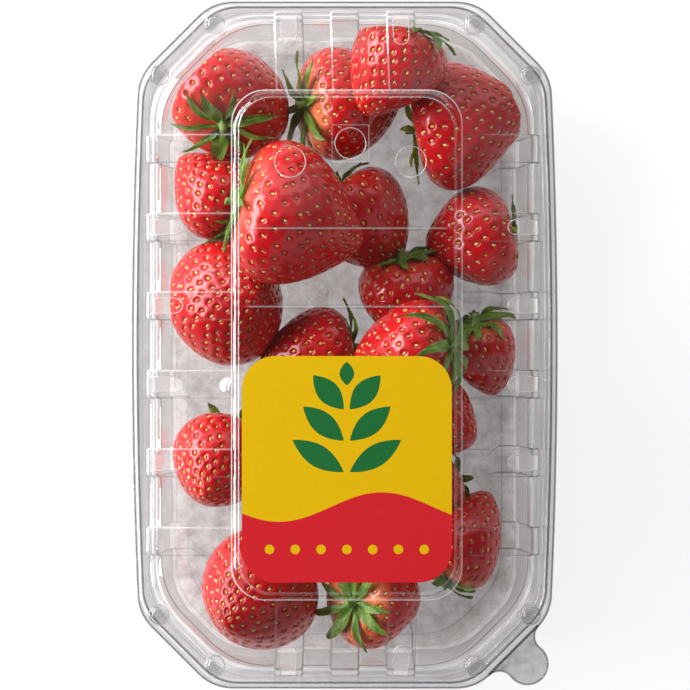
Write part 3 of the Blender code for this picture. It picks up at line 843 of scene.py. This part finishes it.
def leaf(skin, rng, turn, length, lift, curl, sway, wide):
    """One sepal: a pointed blade that follows the berry's shoulder and lifts towards its tip."""
    steps, across = 11, 4
    radius = skin.size[:2].mean()
    points, along, over = [], [], []
    for i in range(steps + 1):
        s = i / steps
        width = wide * (0.42 + 0.58 * smooth(s / 0.35)) * (1 - s**2.2) ** 0.8
        theta = (0.0012 + s * length * 0.95) / radius
        for j in range(-across // 2, across // 2 + 1):
            u = j / (across // 2)
            side = turn + sway * s * s + u * width / max(radius * math.sin(theta), 0.0011)
            d = np.array(
                [[math.sin(theta) * math.cos(side), math.sin(theta) * math.sin(side), math.cos(theta)]]
            )
            here, normal, tip_way, *_ = skin.frames(d)
            up = 0.0005 + lift * length * s**2 + 0.35 * abs(u) ** 1.5 * width
            up += 0.0004 * math.sin(9 * s + 3 * u + turn * 5)
            inward = curl * length * s**3
            points.append(here[0] + normal[0] * up - tip_way[0] * inward)
            along.append(s)
            over.append(u)
    faces = []
    stride = across + 1
    for i in range(steps):
        for j in range(across):
            a = i * stride + j
            faces.append((a, a + 1, a + stride + 1, a + stride))
    return points, faces, along, over


def calyx(skin, number, leaves, length, stem):
    """The star of sepals and the short stem, as (points, faces, along, across)."""
    rng = np.random.default_rng(number + 90)
    points, faces, along, over = [], [], [], []

    def add(part):
        start = len(points)
        points.extend(part[0])
        faces.extend(tuple(start + i for i in face) for face in part[1])
        along.extend(part[2])
        over.extend(part[3])

    for index in range(leaves):
        turn = 2 * math.pi * (index + rng.uniform(-0.2, 0.2)) / leaves
        add(
            leaf(
                skin,
                rng,
                turn,
                length * rng.uniform(0.78, 1.15),
                rng.uniform(0.05, 0.42),
                rng.uniform(-0.05, 0.20),
                rng.uniform(-0.25, 0.25),
                0.0018 * rng.uniform(0.45, 1.1),
            )
        )
    top = skin.at(np.array([[0.0, 0.0, 1.0]]))[0]
    ring = 10
    stalk, stalk_faces = [], []
    lean = rng.uniform(-0.35, 0.35, 2)
    profile = [(0.0023, -0.0006), (0.0017, 0.0004), (0.0012, 0.0012), (0.0010, stem), (0.0011, stem + 0.0004)]
    for level, (radius, lift) in enumerate(profile):
        centre = top + np.array([lean[0] * lift, lean[1] * lift, lift])
        for i in range(ring):
            t = 2 * math.pi * i / ring
            stalk.append(centre + radius * np.array([math.cos(t), math.sin(t), 0.0]))
    for level in range(len(profile) - 1):
        for i in range(ring):
            after = (i + 1) % ring
            low, high = level * ring, (level + 1) * ring
            stalk_faces.append((low + i, low + after, high + after, high + i))
    stalk_faces.append(tuple(range((len(profile) - 1) * ring, len(profile) * ring)))
    add((stalk, stalk_faces, [0.0] * len(stalk), [0.0] * len(stalk)))
    return points, faces, along, over


WALL_GAP = 0.0007
FLOOR_GAP = 0.0008


def press(points):
    """Presses world points in from the tray's floor and wall and the lid's dome."""
    below = np.minimum(points[:, 2] - FLOOR_GAP, 0.0)
    points[:, 2] -= 0.97 * below
    z = points[:, 2]
    inset = np.interp(z, [0.002, 0.005, 0.0443, 0.0462, 0.0497], [0.0100, 0.0084, 0.0060, 0.0060, 0.0066])
    cut = np.interp(z, [0.005, 0.0443], [FOOT[0], WALL[0]])
    radius = np.interp(z, [0.005, 0.0443], [FOOT[1], WALL[1]])
    half_x, half_y = HALF_WIDTH - inset - WALL_GAP, HALF_LENGTH - inset - WALL_GAP
    flat = points[:, :2]
    for turn in range(16):
        angle = turn * math.pi / 8
        way = np.array([math.cos(angle), math.sin(angle)])
        across, along = abs(way[0]), abs(way[1])
        if turn % 4 == 0:
            limit = half_x * across + half_y * along
        elif turn % 2 == 0:
            limit = (half_x + half_y - cut) * math.sqrt(0.5)
        else:
            corner = half_x * across + (half_y - cut) * along
            if along > across:
                corner = (half_x - cut) * across + half_y * along
            limit = corner - radius * (1 / math.cos(math.pi / 8) - 1)
        over = np.maximum(flat @ way - limit, 0.0)
        flat -= over[:, None] * way
    return points


def build_berry(number, berry, materials):
    x, y, low, length, width, height, heading, rise, roll, taper, leaves, leaf_length, stem = berry
    skin = Skin(length, width, height, taper, number)
    points, triangles, pit, seeds = flesh(skin, number)
    rng = np.random.default_rng(number + 3)
    seed_points, seed_faces, tones = seed_mesh(seeds, rng)
    leaf_points, leaf_faces, along, over = calyx(skin, number, leaves, leaf_length, stem)
    place = berry_place(x, y, 0.0, heading, rise, roll)
    turned = points @ np.array(place.to_3x3()).T
    place.translation.z = low - turned[:, 2].min()
    every = np.concatenate([points, seed_points, np.array(leaf_points)])
    turn, shift = np.array(place.to_3x3()), np.array(place.translation)
    every = press(every @ turn.T + shift)
    first = len(points)
    second = first + len(seed_points)
    faces = list(triangles)
    faces += [tuple(first + i for i in face) for face in seed_faces]
    faces += [tuple(second + i for i in face) for face in leaf_faces]
    slots = [0] * len(triangles) + [1] * len(seed_faces) + [2] * len(leaf_faces)
    plain = np.zeros(len(seed_points))
    values = {
        "pit": np.concatenate([pit, plain, np.zeros(len(leaf_points))]),
        "tone": np.concatenate([np.zeros(len(points)), tones, np.zeros(len(leaf_points))]),
        "along": np.concatenate([points[:, 2] / length, plain, along]),
        "across": np.concatenate([np.zeros(len(points)), plain, over]),
        "pale": np.full(len(every), PALE.get(number, USUAL_PALE)),
    }
    return add_mesh(f"strawberry_{number + 1:02d}", every, faces, materials, slots, values)


# Materials


def new_material(name):
    made = bpy.data.materials.new(name)
    made.use_nodes = True
    made.node_tree.nodes.clear()
    return made, made.node_tree


def add_node(tree, kind, settings=None, **inputs):
    """A node of that kind, with settings set on it and inputs given as values or sockets."""
    made = tree.nodes.new(kind)
    for key, value in (settings or {}).items():
        setattr(made, key, value)
    for key, value in inputs.items():
        socket = made.inputs[int(key[1:])] if key[0] == "i" and key[1:].isdigit() else made.inputs[key.replace("_", " ")]
        if isinstance(value, bpy.types.NodeSocket):
            tree.links.new(value, socket)
        else:
            socket.default_value = value
    return made


def math_node(tree, operation, first, second=0.0, third=0.0):
    made = add_node(tree, "ShaderNodeMath", {"operation": operation}, i0=first, i1=second, i2=third)
    return made.outputs[0]


def mix_colour(tree, share, first, second, blend="MIX"):
    made = tree.nodes.new("ShaderNodeMix")
    made.data_type = "RGBA"
    made.blend_type = blend
    for socket, value in ((made.inputs[0], share), (made.inputs[6], first), (made.inputs[7], second)):
        if isinstance(value, bpy.types.NodeSocket):
            tree.links.new(value, socket)
        else:
            socket.default_value = value
    return made.outputs[2]


def attribute(tree, name):
    return add_node(tree, "ShaderNodeAttribute", {"attribute_name": name}).outputs["Fac"]


def ramp(tree, value, stops):
    made = tree.nodes.new("ShaderNodeValToRGB")
    tree.links.new(value, made.inputs[0])
    while len(made.color_ramp.elements) < len(stops):
        made.color_ramp.elements.new(0.5)
    for element, (at, colour) in zip(made.color_ramp.elements, stops):
        element.position = at
        element.color = colour
    return made.outputs[0]


def output(tree, shader):
    made = tree.nodes.new("ShaderNodeOutputMaterial")
    tree.links.new(shader, made.inputs["Surface"])


def plastic_material(name, clear, thick, edge, haze, cloudy=(0.80, 0.80, 0.81), mottle=0.25):
    """A thin clear sheet: light goes straight on, and more of it is mirrored at a slant.

    The lines of light that real sheets get by bending at the bends are painted in from attributes: painted shade
    darkens the sheet and its reflection, and painted highlight clouds it pale.
    """
    made, tree = new_material(name)
    coords = add_node(tree, "ShaderNodeTexCoord").outputs["Object"]
    ripple = add_node(tree, "ShaderNodeTexNoise", Vector=coords, Scale=38.0, Detail=2.0)
    bump = add_node(tree, "ShaderNodeBump", Height=ripple.outputs[0], Strength=0.05, Distance=0.0012)
    facing = add_node(tree, "ShaderNodeLayerWeight", Blend=0.5, Normal=bump.outputs[0]).outputs["Facing"]
    dark, painted_highlight = attribute(tree, "dark"), attribute(tree, "painted_highlight")
    lit = math_node(tree, "SUBTRACT", 1.0, dark)
    mirror = math_node(tree, "MULTIPLY_ADD", math_node(tree, "POWER", facing, 5.0), 0.45, 0.065)
    mirror = math_node(tree, "MULTIPLY", mirror, lit)
    slant = math_node(tree, "POWER", facing, 6.0)
    body_tint = mix_colour(tree, attribute(tree, "thick"), (*clear, 1.0), (*thick, 1.0))
    tint = mix_colour(tree, slant, body_tint, (*edge, 1.0))
    blotch = add_node(tree, "ShaderNodeTexNoise", Vector=coords, Scale=190.0, Detail=6.0, Roughness=0.72)
    mottled = add_node(
        tree, "ShaderNodeMapRange", Value=blotch.outputs[0], From_Min=0.40, From_Max=0.66, To_Min=0.0, To_Max=mottle
    )
    height = add_node(tree, "ShaderNodeSeparateXYZ", Vector=coords).outputs[2]
    low = add_node(tree, "ShaderNodeMapRange", Value=height, From_Min=0.002, From_Max=0.008, To_Min=1.0, To_Max=0.25)
    mottled = math_node(tree, "MULTIPLY", mottled.outputs[0], low.outputs[0])
    tint = mix_colour(tree, mottled, tint, (0.26, 0.20, 0.18, 1.0))
    # Painted shade: the dark attribute turns the sheet's tint towards near black
    tint = mix_colour(tree, math_node(tree, "MULTIPLY", dark, 0.85), tint, (0.05, 0.045, 0.045, 1.0))
    through = add_node(tree, "ShaderNodeBsdfTransparent", Color=tint)
    cloud = add_node(tree, "ShaderNodeBsdfDiffuse", Color=(*cloudy, 1.0))
    speck = add_node(tree, "ShaderNodeTexNoise", Vector=coords, Scale=420.0, Detail=3.0)
    grain = add_node(
        tree, "ShaderNodeMapRange", Value=speck.outputs[0], From_Min=0.35, From_Max=0.75, To_Min=0.6, To_Max=1.6
    )
    hazy = math_node(tree, "MULTIPLY", grain.outputs[0], haze)
    # Painted highlight: the painted lines cloud the sheet pale
    hazy = math_node(tree, "MULTIPLY_ADD", painted_highlight, 0.62, hazy)
    body = add_node(tree, "ShaderNodeMixShader", Fac=hazy, i1=through.outputs[0], i2=cloud.outputs[0])
    gloss = add_node(
        tree, "ShaderNodeBsdfGlossy", Color=(1.0, 1.0, 1.0, 1.0), Roughness=0.05, Normal=bump.outputs[0]
    )
    whole = add_node(tree, "ShaderNodeMixShader", Fac=mirror, i1=body.outputs[0], i2=gloss.outputs[0])
    output(tree, whole.outputs[0])
    return made


def flesh_material():
    made, tree = new_material("strawberry_skin")
    coords = add_node(tree, "ShaderNodeTexCoord")
    mottle = add_node(tree, "ShaderNodeTexNoise", Vector=coords.outputs["Object"], Scale=160.0, Detail=4.0)
    patch = add_node(tree, "ShaderNodeTexNoise", Vector=coords.outputs["Object"], Scale=45.0, Detail=2.0)
    red = ramp(
        tree,
        patch.outputs[0],
        [(0.30, (0.40, 0.003, 0.007, 1)), (0.52, (0.57, 0.007, 0.010, 1)), (0.75, (0.68, 0.017, 0.014, 1))],
    )
    red = mix_colour(tree, mottle.outputs[0], red, (0.52, 0.005, 0.009, 1), "MIX")
    high = attribute(tree, "along")
    wander = math_node(tree, "MULTIPLY_ADD", patch.outputs[0], 0.16, -0.08)
    at = math_node(tree, "ADD", high, wander)
    pale = add_node(tree, "ShaderNodeMapRange", {"interpolation_type": "SMOOTHSTEP"}, Value=at, From_Min=0.30, From_Max=0.47)
    paleness = math_node(tree, "MULTIPLY", pale.outputs[0], attribute(tree, "pale"))
    red = mix_colour(tree, paleness, red, (0.80, 0.25, 0.10, 1))
    # Painted shade: the skin darker red towards the bottoms of the seed pits
    pit = attribute(tree, "pit")
    dark = math_node(tree, "MULTIPLY", pit, 0.75)
    red = mix_colour(tree, dark, red, (0.22, 0.004, 0.004, 1))
    fine = add_node(tree, "ShaderNodeTexNoise", Vector=coords.outputs["Object"], Scale=900.0, Detail=2.0)
    bump = add_node(tree, "ShaderNodeBump", Height=fine.outputs[0], Strength=0.25, Distance=0.0002)
    shader = add_node(
        tree,
        "ShaderNodeBsdfPrincipled",
        Base_Color=red,
        Roughness=0.30,
        Subsurface_Weight=0.08,
        Subsurface_Radius=(0.0022, 0.0005, 0.0003),
        Subsurface_Scale=1.0,
        Coat_Weight=0.50,
        Coat_Roughness=0.07,
        Normal=bump.outputs[0],
    )
    shader.inputs["Specular IOR Level"].default_value = 0.22
    output(tree, shader.outputs[0])
    return made


def seed_material():
    made, tree = new_material("strawberry_seed")
    tone = attribute(tree, "tone")
    colour = ramp(
        tree,
        tone,
        [
            (0.0, (0.52, 0.24, 0.03, 1)),
            (0.35, (0.82, 0.48, 0.07, 1)),
            (0.7, (0.92, 0.64, 0.16, 1)),
            (1.0, (0.62, 0.42, 0.07, 1)),
        ],
    )
    shader = add_node(tree, "ShaderNodeBsdfPrincipled", Base_Color=colour, Roughness=0.38)
    output(tree, shader.outputs[0])
    return made


def leaf_material():
    made, tree = new_material("strawberry_leaf")
    coords = add_node(tree, "ShaderNodeTexCoord")
    along, across = attribute(tree, "along"), attribute(tree, "across")
    patch = add_node(tree, "ShaderNodeTexNoise", Vector=coords.outputs["Object"], Scale=260.0, Detail=4.0)
    green = ramp(
        tree,
        patch.outputs[0],
        [(0.30, (0.055, 0.140, 0.012, 1)), (0.52, (0.130, 0.270, 0.026, 1)), (0.75, (0.270, 0.440, 0.055, 1))],
    )
    side = math_node(tree, "ABSOLUTE", across)
    vein = add_node(tree, "ShaderNodeMapRange", Value=side, From_Min=0.0, From_Max=0.16, To_Min=0.65, To_Max=0.0)
    green = mix_colour(tree, vein.outputs[0], green, (0.30, 0.42, 0.12, 1))
    slant = math_node(tree, "MULTIPLY_ADD", side, -5.0, 0.0)
    lines = math_node(tree, "MULTIPLY_ADD", along, 46.0, slant)
    wave = math_node(tree, "SINE", lines)
    thin = math_node(tree, "POWER", math_node(tree, "MAXIMUM", wave, 0.0), 4.0)
    green = mix_colour(tree, math_node(tree, "MULTIPLY", thin, 0.22), green, (0.26, 0.38, 0.10, 1))
    tip = add_node(tree, "ShaderNodeMapRange", {"interpolation_type": "SMOOTHSTEP"}, Value=along, From_Min=0.80, From_Max=1.0, To_Max=0.6)
    green = mix_colour(tree, tip.outputs[0], green, (0.26, 0.20, 0.04, 1))
    bump = add_node(tree, "ShaderNodeBump", Height=thin, Strength=0.3, Distance=0.0003)
    shader = add_node(
        tree, "ShaderNodeBsdfPrincipled", Base_Color=green, Roughness=0.42, Normal=bump.outputs[0]
    )
    glow = add_node(tree, "ShaderNodeBsdfTranslucent", Color=green)
    whole = add_node(tree, "ShaderNodeMixShader", Fac=0.25, i1=shader.outputs[0], i2=glow.outputs[0])
    output(tree, whole.outputs[0])
    return made


def print_material(name, colour):
    made, tree = new_material(name)
    coords = add_node(tree, "ShaderNodeTexCoord")
    grain = add_node(tree, "ShaderNodeTexNoise", Vector=coords.outputs["Object"], Scale=700.0, Detail=3.0)
    tone = mix_colour(tree, grain.outputs[0], (*colour, 1.0), (*(0.93 * c for c in colour), 1.0))
    wave = add_node(tree, "ShaderNodeTexNoise", Vector=coords.outputs["Object"], Scale=60.0, Detail=1.0)
    bump = add_node(tree, "ShaderNodeBump", Height=wave.outputs[0], Strength=0.15, Distance=0.0006)
    shader = add_node(
        tree, "ShaderNodeBsdfPrincipled", Base_Color=tone, Roughness=0.45, Normal=bump.outputs[0]
    )
    shader.inputs["Specular IOR Level"].default_value = 0.12
    output(tree, shader.outputs[0])
    return made


# Label

LABEL_HALF_X = 0.0285
LABEL_LOW_Y = -0.0645
LABEL_HIGH_Y = -0.0030
LABEL_CORNER = 0.0090
LABEL_Z = 0.0560
LABEL_THICKNESS = 0.0002


def rounded_box(low_x, high_x, low_y, high_y, corner, steps):
    points = []
    for start, x, y in (
        (0, high_x - corner, high_y - corner),
        (90, low_x + corner, high_y - corner),
        (180, low_x + corner, low_y + corner),
        (270, high_x - corner, low_y + corner),
    ):
        points += arc(x, y, corner, start, start + 90, steps)
    return points


def label_loops():
    """The printed fields inside the label's edge: (loop, slot), later ones on top."""
    middle = PANEL_SHIFT
    band = []
    for i in range(41):
        t = i / 40
        x = middle - LABEL_HALF_X + 2 * LABEL_HALF_X * t
        band.append((x, -0.0475 + 0.0035 * math.sin(2 * math.pi * t * 1.5 + 0.4)))
    loops = [(band + [(middle + LABEL_HALF_X, LABEL_LOW_Y), (middle - LABEL_HALF_X, LABEL_LOW_Y)], 1)]
    return loops


def build_label(materials):
    middle = PANEL_SHIFT
    outline = rounded_box(
        middle - LABEL_HALF_X, middle + LABEL_HALF_X, LABEL_LOW_Y, LABEL_HIGH_Y, LABEL_CORNER, 12
    )
    flat = [Vector(p) for p in outline]
    edges = [(i, (i + 1) % len(flat)) for i in range(len(flat))]
    motifs = label_motifs()
    for loop, _ in motifs:
        start = len(flat)
        flat += [Vector(p) for p in loop]
        edges += [(start + i, start + (i + 1) % len(loop)) for i in range(len(loop))]
    band_line = []
    for i in range(61):
        t = i / 60
        x = middle - LABEL_HALF_X + 0.00001 + 2 * (LABEL_HALF_X - 0.00001) * t
        band_line.append((x, band_edge(x)))
    start = len(flat)
    flat += [Vector(p) for p in band_line]
    edges += [(start + i, start + i + 1) for i in range(60)]
    points, _, faces, *_ = delaunay_2d_cdt(flat, edges, [], 1, 1e-7)
    slots = []
    kept = []
    for face in faces:
        centre = sum((points[i] for i in face), Vector((0, 0))) / len(face)
        slot = 1 if centre.y < band_edge(centre.x) else 0
        for loop, mark in motifs:
            if inside(centre, loop):
                slot = mark
        kept.append(tuple(face))
        slots.append(slot)
    count = len(points)
    low = [(p.x, p.y, LABEL_Z) for p in points]
    high = [(p.x, p.y, LABEL_Z + LABEL_THICKNESS) for p in points]
    faces = [tuple(count + i for i in face) for face in kept] + [face[::-1] for face in kept]
    slots = slots + [0] * len(kept)
    ring = range(len(outline))
    for i in ring:
        after = (i + 1) % len(outline)
        faces.append((i, after, count + after, count + i))
        slots.append(0)
    made = add_mesh("label_sticker", low + high, faces, materials, slots)
    made.data.set_sharp_from_angle(angle=math.radians(30))
    return made


def band_edge(x):
    share = (x - PANEL_SHIFT) / LABEL_HALF_X
    return -0.0440 + 0.0040 * math.sin(3.2 * share + 0.5)


def inside(point, loop):
    crossings = 0
    for (x1, y1), (x2, y2) in zip(loop, loop[1:] + loop[:1]):
        if (y1 > point.y) != (y2 > point.y):
            if point.x < x1 + (point.y - y1) / (y2 - y1) * (x2 - x1):
                crossings += 1
    return crossings % 2 == 1


def leaf_shape(x, y, length, wide, turn, steps=14):
    """A pointed leaf from (x, y), along turn degrees."""
    c, s = math.cos(math.radians(turn)), math.sin(math.radians(turn))
    right, left = [], []
    for i in range(steps + 1):
        t = i / steps
        half = wide * math.sin(math.pi * t) ** 0.9
        a = length * t
        right.append((x + a * c + half * s, y + a * s - half * c))
        if 0 < i < steps:
            left.append((x + a * c - half * s, y + a * s + half * c))
    return right + left[::-1]


def label_motifs():
    """A sprig of leaves on the yellow field and a row of dots on the red one."""
    middle = PANEL_SHIFT
    motifs = []
    for side in (1, -1):
        for i in range(3):
            base = -0.0345 + 0.0085 * i
            motifs.append(
                (leaf_shape(middle + side * 0.0008, base, 0.0165 - 0.002 * i, 0.0030, 90 - side * (58 - 8 * i)), 2)
            )
    motifs.append((leaf_shape(middle, -0.0075 - 0.0035, 0.0065, 0.0020, 90), 2))
    for i in range(7):
        x = middle - 0.021 + 0.007 * i
        motifs.append((circle(x, -0.0555, 0.0013, 20), 0))
    return motifs


# Scene


def lamp(name, place, target, size, power, colour=(1.0, 1.0, 1.0)):
    light = bpy.data.lights.new(name, "AREA")
    light.shape = "RECTANGLE"
    light.size, light.size_y = size
    light.energy = power
    light.color = colour
    made = bpy.data.objects.new(name, light)
    bpy.context.scene.collection.objects.link(made)
    made.location = place
    way = Vector(target) - Vector(place)
    made.rotation_euler = way.to_track_quat("-Z", "Y").to_euler()
    return made


def build_world():
    """A pale studio: dark straight above, bright round it, and brighter to the left."""
    world = bpy.data.worlds.new("studio")
    bpy.context.scene.world = world
    world.use_nodes = True
    tree = world.node_tree
    tree.nodes.clear()
    coords = add_node(tree, "ShaderNodeTexCoord")
    split = add_node(tree, "ShaderNodeSeparateXYZ", Vector=coords.outputs["Generated"])
    high = math_node(tree, "MULTIPLY_ADD", split.outputs[0], -0.13, split.outputs[2])
    high = math_node(tree, "MULTIPLY_ADD", split.outputs[1], -1.0, high)
    overhead = add_node(
        tree, "ShaderNodeMapRange", {"interpolation_type": "SMOOTHSTEP"},
        Value=high, From_Min=0.835, From_Max=0.89, To_Min=1.0, To_Max=0.05,
    )
    left = math_node(tree, "MULTIPLY_ADD", split.outputs[0], -0.08, 0.20)
    up = math_node(tree, "MULTIPLY_ADD", split.outputs[1], 0.08, left)
    ring = add_node(
        tree, "ShaderNodeMapRange", {"interpolation_type": "SMOOTHSTEP"},
        Value=high, From_Min=0.40, From_Max=0.55, To_Min=0.0, To_Max=0.08,
    )
    up = math_node(tree, "ADD", up, ring.outputs[0])
    strength = math_node(tree, "MULTIPLY", up, overhead.outputs[0])
    back = add_node(tree, "ShaderNodeBackground", Color=(0.97, 0.98, 1.0, 1.0), Strength=strength)
    out = tree.nodes.new("ShaderNodeOutputWorld")
    tree.links.new(back.outputs[0], out.inputs["Surface"])


RIM_HEIGHT = 0.046
CAMERA_ABOVE = 1.5
FRAME_WIDTH = 0.1886
SENSOR = 36.0


def build_stage():
    floor_material, tree = new_material("studio_floor")
    shader = add_node(tree, "ShaderNodeBsdfPrincipled", Base_Color=(0.28, 0.28, 0.28, 1.0), Roughness=0.7)
    shader.inputs["Emission Color"].default_value = (1.0, 1.0, 1.0, 1.0)
    shader.inputs["Emission Strength"].default_value = 0.76
    output(tree, shader.outputs[0])
    size = 4.0
    corners = [(-size, -size, 0), (size, -size, 0), (size, size, 0), (-size, size, 0)]
    floor = add_mesh("floor", corners, [(0, 1, 2, 3)], [floor_material])
    camera_data = bpy.data.cameras.new("camera")
    camera_data.sensor_width = SENSOR
    camera_data.lens = SENSOR * CAMERA_ABOVE / FRAME_WIDTH
    camera_data.clip_start = 0.01
    camera_data.clip_end = 20.0
    camera = bpy.data.objects.new("camera", camera_data)
    camera.location = (0.0001, 0.0, RIM_HEIGHT + CAMERA_ABOVE)
    bpy.context.scene.collection.objects.link(camera)
    bpy.context.scene.camera = camera
    build_world()
    lamp("key", (-1.0, 0.22, 0.56), (0, 0, 0.03), (1.1, 0.42), 27.0)
    lamp("window", (-0.92, 0.60, 0.24), (0, 0, 0.03), (0.9, 0.30), 12.0)
    lamp("back_fill", (0.15, 1.02, 0.62), (0, 0, 0.03), (1.9, 0.8), 10.0)
    lamp("side_fill", (0.75, -0.85, 0.70), (0, 0, 0.03), (1.8, 1.4), 6.0)
    view = bpy.context.scene.view_settings
    view.view_transform = "Standard"
    view.look = "None"


def main():
    build_stage()
    dark = (0.30, 0.33, 0.36)
    thick = (0.60, 0.61, 0.615)
    plastic = plastic_material("clear_lid", (0.965, 0.968, 0.972), thick, dark, 0.003)
    base = plastic_material("clear_tray", (0.90, 0.862, 0.855), (0.86, 0.86, 0.86), (0.20, 0.185, 0.18), 0.02, mottle=0.48)
    frosted = plastic_material("frosted_sheet", (0.67, 0.67, 0.67), (0.67, 0.67, 0.67), dark, 0.5, (0.38, 0.38, 0.38))
    # The rolled lip is darker than the sheet, partly for its curl's several layers and partly as painted shade for the
    # dark line the curl refracts
    rolled = plastic_material("rolled_lip", (0.60, 0.61, 0.62), (0.60, 0.61, 0.62), (0.10, 0.11, 0.12), 0.02)
    # The cut rims' pale haze is partly the rough cut and partly a painted highlight for the bright line light makes
    # along a cut edge
    cut_edge = plastic_material("cut_edge", (0.75, 0.75, 0.75), (0.75, 0.75, 0.75), dark, 0.4, (0.70, 0.70, 0.70))
    tray, tray_rim = build_tray(base, rolled)
    lid, lid_rims = build_lid(plastic, frosted, rolled, cut_edge)
    prints = [
        print_material("label_yellow", (0.550, 0.335, 0.001)),
        print_material("label_red", (0.455, 0.012, 0.018)),
        print_material("label_green", (0.010, 0.105, 0.025)),
    ]
    label = build_label(prints)
    fruit = [flesh_material(), seed_material(), leaf_material()]
    berries = [build_berry(number, berry, fruit) for number, berry in enumerate(BERRIES)]
    for piece in (tray, tray_rim):
        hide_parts("tray")
    for piece in (lid, lid_rims):
        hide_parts("lid")
    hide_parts("label")
    for piece in berries:
        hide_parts("strawberries")
    for piece in [tray, tray_rim, lid, lid_rims, label] + berries:
        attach(piece, "root")


main()
